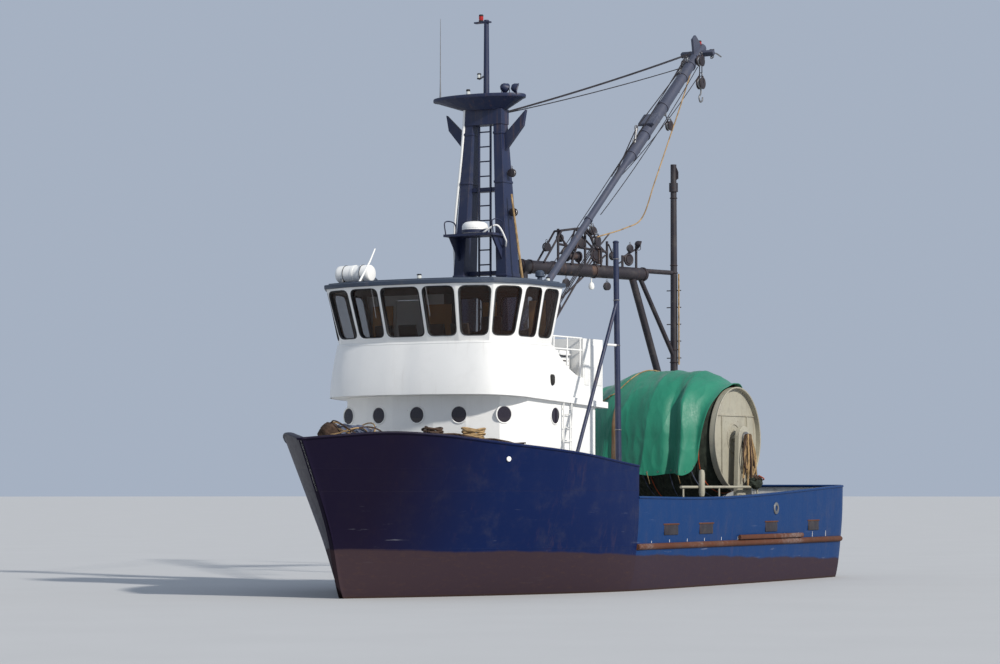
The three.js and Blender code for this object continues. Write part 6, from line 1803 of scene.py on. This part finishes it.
class TRAWLER_OT_deck_gear(bpy.types.Operator):
    """Winch drums, hatch fittings, bitts, coils, heaps, fenders and pen boards"""
    bl_idname = "trawler.deck_gear"
    bl_label = "Deck gear"

    def execute(self, context):
        self.winch()
        self.hatch()
        self.bitts_and_coils()
        self.bow_heap()
        self.hull_side()
        return {"FINISHED"}

    def winch(self):
        """Two barrels wound with wire, warping ends, motor and levers."""
        wraps = np.arange(0, 0.56, WIRE_PITCH)
        wound = [[0.3 + 0.012 * math.sin(4 * w) + 0.006 * (k % 2), 0.04 + w] for k, w in enumerate(wraps)]
        for side, name in ((1, "port"), (-1, "starboard")):
            foot = WINCH + Y * (0.26 if side > 0 else -0.9)
            rows = [[0, -0.0197], [0.06, -0.0197], [0.06, 0], [0.41, 0], [0.42, 0.008], [0.42, 0.024],
                    [0.41, 0.03], [0.15, 0.03], [0.15, 0.61], [0.41, 0.61], [0.42, 0.618], [0.42, 0.634],
                    [0.41, 0.64], [0.06, 0.64], [0.06, 0.6597], [0, 0.6597]]
            brake = hoop(foot + Y * (0.03 if side < 0 else 0.61), Y, 0.4, 0.014, 48, 6)
            coil = turned([[0.15, 0.032]] + wound + [[0.15, 0.605]], foot, Y, 40)
            piece(f"winch_barrel_{name}", {"bare_steel": [turned(rows, foot, Y, 48), brake],
                                           "wire_rope": [coil]}, f"{name}_drum",
                  stands_for=[f"winch_drum_{name}"])
        wx, _, wz = WINCH
        ends = [turned([[0, 0], [0.09, 0], [0.09, 0.04], [0.13, 0.06], [0.09, 0.16], [0.15, 0.2],
                        [0.15, 0.22], [0, 0.22]], [wx, side * 0.972, wz], Y * side, 24) for side in (1, -1)]
        motor = [turned([[0, 0], [0.13, 0], [0.13, 0.3], [0.09, 0.34], [0, 0.34]],
                        [wx + 0.14, 0, wz + 0.02], X, 24)]
        levers = [tube([[wx + 0.32, y, 1.1], [wx + 0.42, y, 2.05]], [0.014, 0.012], 8)
                  for y in (-0.6, -0.5, 0.5, 0.6)]
        knobs = [turned([[0, -0.03], [0.026, -0.015], [0.026, 0.015], [0, 0.03]], [wx + 0.42, y, 2.06], Z,
                        12) for y in (-0.6, -0.5, 0.5, 0.6)]
        piece("winch_fittings", {"gear_paint": ends + motor, "bare_steel": levers, "black_rubber": knobs})

    def hatch(self):
        """Dogs round the coaming, handles on the lid, and pen boards on the deck."""
        h = HATCH
        dogs = [slab([x - 0.02, y - 0.012, 1.2], [x + 0.02, y + 0.012, 1.4], 0.005)
                for x in np.linspace(h["aft"] + 0.2, h["fore"] - 0.2, 4)
                for y in (h["half"] + 0.03, -h["half"] - 0.03)]
        boards = [slab([x, y0, WORKDECK + 0.01], [x + 0.045, y1, WORKDECK + 0.42], 0.006) for x, y0, y1 in (
            (-1.0, -2.8, -1.2), (-1.0, 1.2, 2.8), (-3.9, -2.5, -1.2), (-3.9, 1.2, 2.5))]
        handle = [pipe([[-2.9, y, 1.418], [-2.9, y, 1.47], [-2.6, y, 1.47], [-2.6, y, 1.418]], 0.012, 8, 3)
                  for y in (0.4, -0.4)]
        piece("hatch_dogs", {"bare_steel": dogs, "wood": boards})
        piece("hatch_lid_handles", {"bare_steel": handle}, "lid")

    def bitts_and_coils(self):
        """Bow bitts with turns of rope, and flat coils on the decks: circles that wander."""
        bx = at(BITTS_AFT)
        posts = [turned([[0, 0.0003], [0.08, 0.0003], [0.08, 0.59], [0.088, 0.6], [0.088, 0.615],
                         [0.07, 0.62], [0, 0.62]], [bx, y, FOREDECK], Z, 28) for y in (-0.15, 0.15)]
        cross = tube([[bx, -0.33, FOREDECK + 0.44], [bx, 0.33, FOREDECK + 0.44]], 0.045, 20)
        piece("bow_bitts", {"gear_paint": posts + [cross]}, stands_for=["bow_bitt"])
        t = np.linspace(0, 1, 160)
        turns = tube(np.stack([bx + 0.098 * np.cos(40 * t), 0.15 + 0.098 * np.sin(40 * t),
                               FOREDECK + 0.1 + 0.24 * t], 1), 0.016, 8)
        coils = []
        for cx, cy, cz, big, loops_, seed, finish in ((5.7, 1.78, 3.0, 0.3, 6, 1, 0),
                                                      (6.6, 1.45, 3.03, 0.26, 5, 2, 2),
                                                      (-7.9, 1.9, 1.0, 0.34, 7, 3, 1),
                                                      (0.9, -1.7, 1.0, 0.36, 7, 4, 1)):
            a = np.linspace(0, 2 * np.pi * loops_, 40 * loops_)
            lump = big * (1 + 0.1 * wave(seed, 0.7 * a, 0.2 * a)) * (0.75 + 0.25 * np.sin(0.31 * a) ** 2)
            z = cz + 0.03 * a / 6.28 + 0.015 * np.sin(2.3 * a)
            path = np.stack([cx + lump * np.cos(a), cy + 0.62 * lump * np.sin(a), z], 1)
            coils.append((finish, tube(path, 0.019, 8)))
        piece("rope_coils", {"tan_rope": [turns] + [c for f, c in coils if f == 0],
                             "blue_rope": [c for f, c in coils if f == 1],
                             "brown_rope": [c for f, c in coils if f == 2]})

    def hull_side(self):
        """Discs on the topside and the fender pipe along it."""
        disc_spot, disc_out = side_point(3.35, 2.6)
        port_spot, port_out = side_point(LENGTH / 2 + 4.75, 1.6)
        discs = {"white_paint": [turned([[0, 0], [0.048, 0], [0.052, 0.01], [0.045, 0.02], [0, 0.022]],
                                        disc_spot, disc_out, 24)],
                 "bare_steel": [turned([[0.06, -0.01], [0.13, -0.01], [0.13, 0.015], [0.1, 0.03],
                                        [0.06, 0.02], [0.06, -0.01]], port_spot, port_out, 28)]}
        fender = np.array([side_point(LENGTH / 2 + a, 1.0)[0] for a in np.linspace(2.93, 6.18, 30)])
        discs["rust_steel"] = [tube(fender + Y * 0.045, 0.04, 8, 1.3)]
        piece("hull_side_fittings", discs)

    def bow_heap(self):
        """A bundled net over the stem: a lumpy ball surface, with ropes looped over it."""
        ball = ball_of(90, 46)
        heaps = []
        for seed, centre, size in ((21, [7.25, 0.0, 2.86], [0.62, 0.42, 0.36]),
                                   (22, [6.7, 0.3, 2.6], [0.4, 0.34, 0.3]),
                                   (23, [7.7, -0.1, 3.08], [0.28, 0.2, 0.2])):
            broad = wave(seed, *(4.2 * ball.transpose(2, 0, 1)))
            fine = wave(seed + 9, *(13 * ball.transpose(2, 0, 1)))
            rough = 1 + 0.16 * broad + 0.05 * fine
            heaps.append(grid(np.array(centre) + ball * rough[..., None] * size, around=True, ends=True,
                              size=(6, 9)))
        rng = np.random.default_rng(8)
        ropes = []
        a = np.linspace(0, 2 * np.pi, 40)
        for k in range(16):
            tilt = rng.uniform(-0.5, 0.5, 2)
            r = rng.uniform(0.75, 1.06)
            ring = np.stack([0.6 * r * np.cos(a), 0.42 * r * np.sin(a),
                             0.3 * r * np.sin(a * 2 + k) * 0.4 + tilt[0] * 0.4 * np.cos(a)], 1)
            ropes.append(tube(ring + [7.2 + rng.uniform(-0.2, 0.25), rng.uniform(-0.1, 0.15),
                                      2.95 + rng.uniform(-0.1, 0.22)], 0.014, 6))
        rail = []
        xs = np.linspace(6.9, 5.1, 20)
        for k in range(4):
            ys = half_breadth(0, LENGTH / 2 - xs) - 0.14 - 0.04 * k
            zs = on_curve(HEIGHTS[0], LENGTH / 2 - xs) + 0.03 + 0.02 * np.sin(9 * xs + k)
            rail.append(tube(np.stack([xs, ys, zs], 1), 0.017, 6))
        piece("bow_net_heap", {"brown_rope": heaps[1:] + ropes[::3] + rail,
                               "blue_rope": heaps[:1] + ropes[1::3], "tan_rope": ropes[2::3]})


class TRAWLER_OT_solids(bpy.types.Operator):
    """Paints every solid that stays in sight"""
    bl_idname = "trawler.solids"
    bl_label = "Paint the solids"

    def execute(self, context):
        for name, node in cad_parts.items():
            if node.hide_render:
                continue
            node.data.materials.clear()
            node.data.materials.append(FINISHES[NODE_FINISH[name]])
        return {"FINISHED"}


class TRAWLER_OT_finishes(bpy.types.Operator):
    """Makes the shared shader groups and every finish"""
    bl_idname = "trawler.finishes"
    bl_label = "Finishes"

    def execute(self, context):
        for build in (paint_age, plate_bays, rope_lay, cloth_weave):
            build()
        colours = context.scene.trawler_colours
        for name, row in PAINTS.items():
            FINISHES[name] = painted(name, colours, row)
        FINISHES["hull_navy"] = hull_paint("hull_navy", colours, "navy")
        FINISHES["hull_blue"] = hull_paint("hull_blue", colours, "blue")
        for name, paint in ROPES.items():
            FINISHES[name] = roped(name, colours, paint)
        for name, row in SMALL.items():
            FINISHES[name] = small_finish(name, row)
        FINISHES["tinted_glass"] = glazing("tinted_glass", 0x24120a, 0.3)
        # Painted shade: near-opaque dark glass in the portholes and the door pane stands for the unlit rooms
        # behind them
        FINISHES["port_glass"] = glazing("port_glass", 0x2b2630, 0.97)
        FINISHES["tarp_cloth"] = tarp_cloth("tarp_cloth", colours)
        return {"FINISHED"}


class TRAWLER_OT_stage(bpy.types.Operator):
    """Floor at the waterline, soft sky, low sun from the port beam, and the camera of the picture"""
    bl_idname = "trawler.stage"
    bl_label = "Stage"

    def execute(self, context):
        scene = context.scene
        material, tree, shader = shaded("floor_matte")
        fine = tree.noise(tree.place(), 0.4, 3)
        tone = tree.mix(fine, (0.50, 0.505, 0.51, 1), (0.54, 0.545, 0.55, 1))
        tree.link(tone, shader, "Base Color")
        tree.link(0.95, shader, "Roughness")
        tree.link(0.1, shader, "Specular IOR Level")
        FINISHES["floor_matte"] = material
        disc = turned([[0, 0], [40, 0], [400, 0], [400, -0.5], [0, -0.5]], [0, 0, 0], Z, 96)
        floor = piece("floor", {"floor_matte": [disc]}, ride=False)
        world = bpy.data.worlds.new("sky")
        scene.world = world
        world.use_nodes = True
        background = world.node_tree.nodes["Background"]
        background.inputs["Color"].default_value = (0.38, 0.44, 0.54, 1)
        background.inputs["Strength"].default_value = 1.0
        sun = bpy.data.lights.new("sun", "SUN")
        sun.energy, sun.angle, sun.color = SUN["power"], math.radians(SUN["spread"]), SUN["tint"]
        light = bpy.data.objects.new("sun", sun)
        light.rotation_euler = Vector(SUN["towards"]).to_track_quat("Z", "Y").to_euler()
        scene.collection.objects.link(light)
        lens = bpy.data.cameras.new("camera")
        lens.sensor_width, lens.lens = 36, CAMERA["lens"]
        lens.clip_start, lens.clip_end = 1, 1000
        camera = bpy.data.objects.new("camera", lens)
        heading, pitch = math.radians(CAMERA["heading"]), math.radians(CAMERA["pitch"])
        aim = Vector((-math.cos(heading) * math.cos(pitch), -math.sin(heading) * math.cos(pitch),
                      math.sin(pitch)))
        camera.location = CAMERA["place"]
        camera.rotation_euler = aim.to_track_quat("-Z", "Y").to_euler()
        scene.collection.objects.link(camera)
        scene.camera = camera
        scene.view_settings.view_transform = "Standard"
        return {"FINISHED"}


STEPS = ("finishes", "hull", "wheelhouse", "house_fittings", "mast", "boom", "poles", "reel", "deck_gear",
         "solids", "stage")


class TRAWLER_PT_panel(bpy.types.Panel):
    """Lists the steps that build the trawler"""
    bl_label = "Fishing trawler"
    bl_idname = "TRAWLER_PT_panel"
    bl_space_type = "VIEW_3D"
    bl_region_type = "UI"
    bl_category = "Trawler"

    def draw(self, context):
        for step in STEPS:
            self.layout.operator(f"trawler.{step}")
        for group in (context.scene.trawler_sizes, context.scene.trawler_colours):
            for name in group.__annotations__:
                self.layout.prop(group, name)


CLASSES = (TrawlerSizes, TrawlerColours, TRAWLER_OT_finishes, TRAWLER_OT_hull, TRAWLER_OT_wheelhouse,
           TRAWLER_OT_house_fittings, TRAWLER_OT_mast, TRAWLER_OT_boom, TRAWLER_OT_poles, TRAWLER_OT_reel,
           TRAWLER_OT_deck_gear, TRAWLER_OT_solids, TRAWLER_OT_stage, TRAWLER_PT_panel)


def register():
    for cls in CLASSES:
        bpy.utils.register_class(cls)
    bpy.types.Scene.trawler_sizes = PointerProperty(type=TrawlerSizes)
    bpy.types.Scene.trawler_colours = PointerProperty(type=TrawlerColours)


def unregister():
    del bpy.types.Scene.trawler_sizes, bpy.types.Scene.trawler_colours
    for cls in reversed(CLASSES):
        bpy.utils.unregister_class(cls)


def main():
    """Registers the add-on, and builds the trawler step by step."""
    register()
    for step in STEPS:
        getattr(bpy.ops.trawler, step)()
    bpy.context.view_layer.update()
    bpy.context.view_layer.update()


if __name__ == "__main__":
    main()
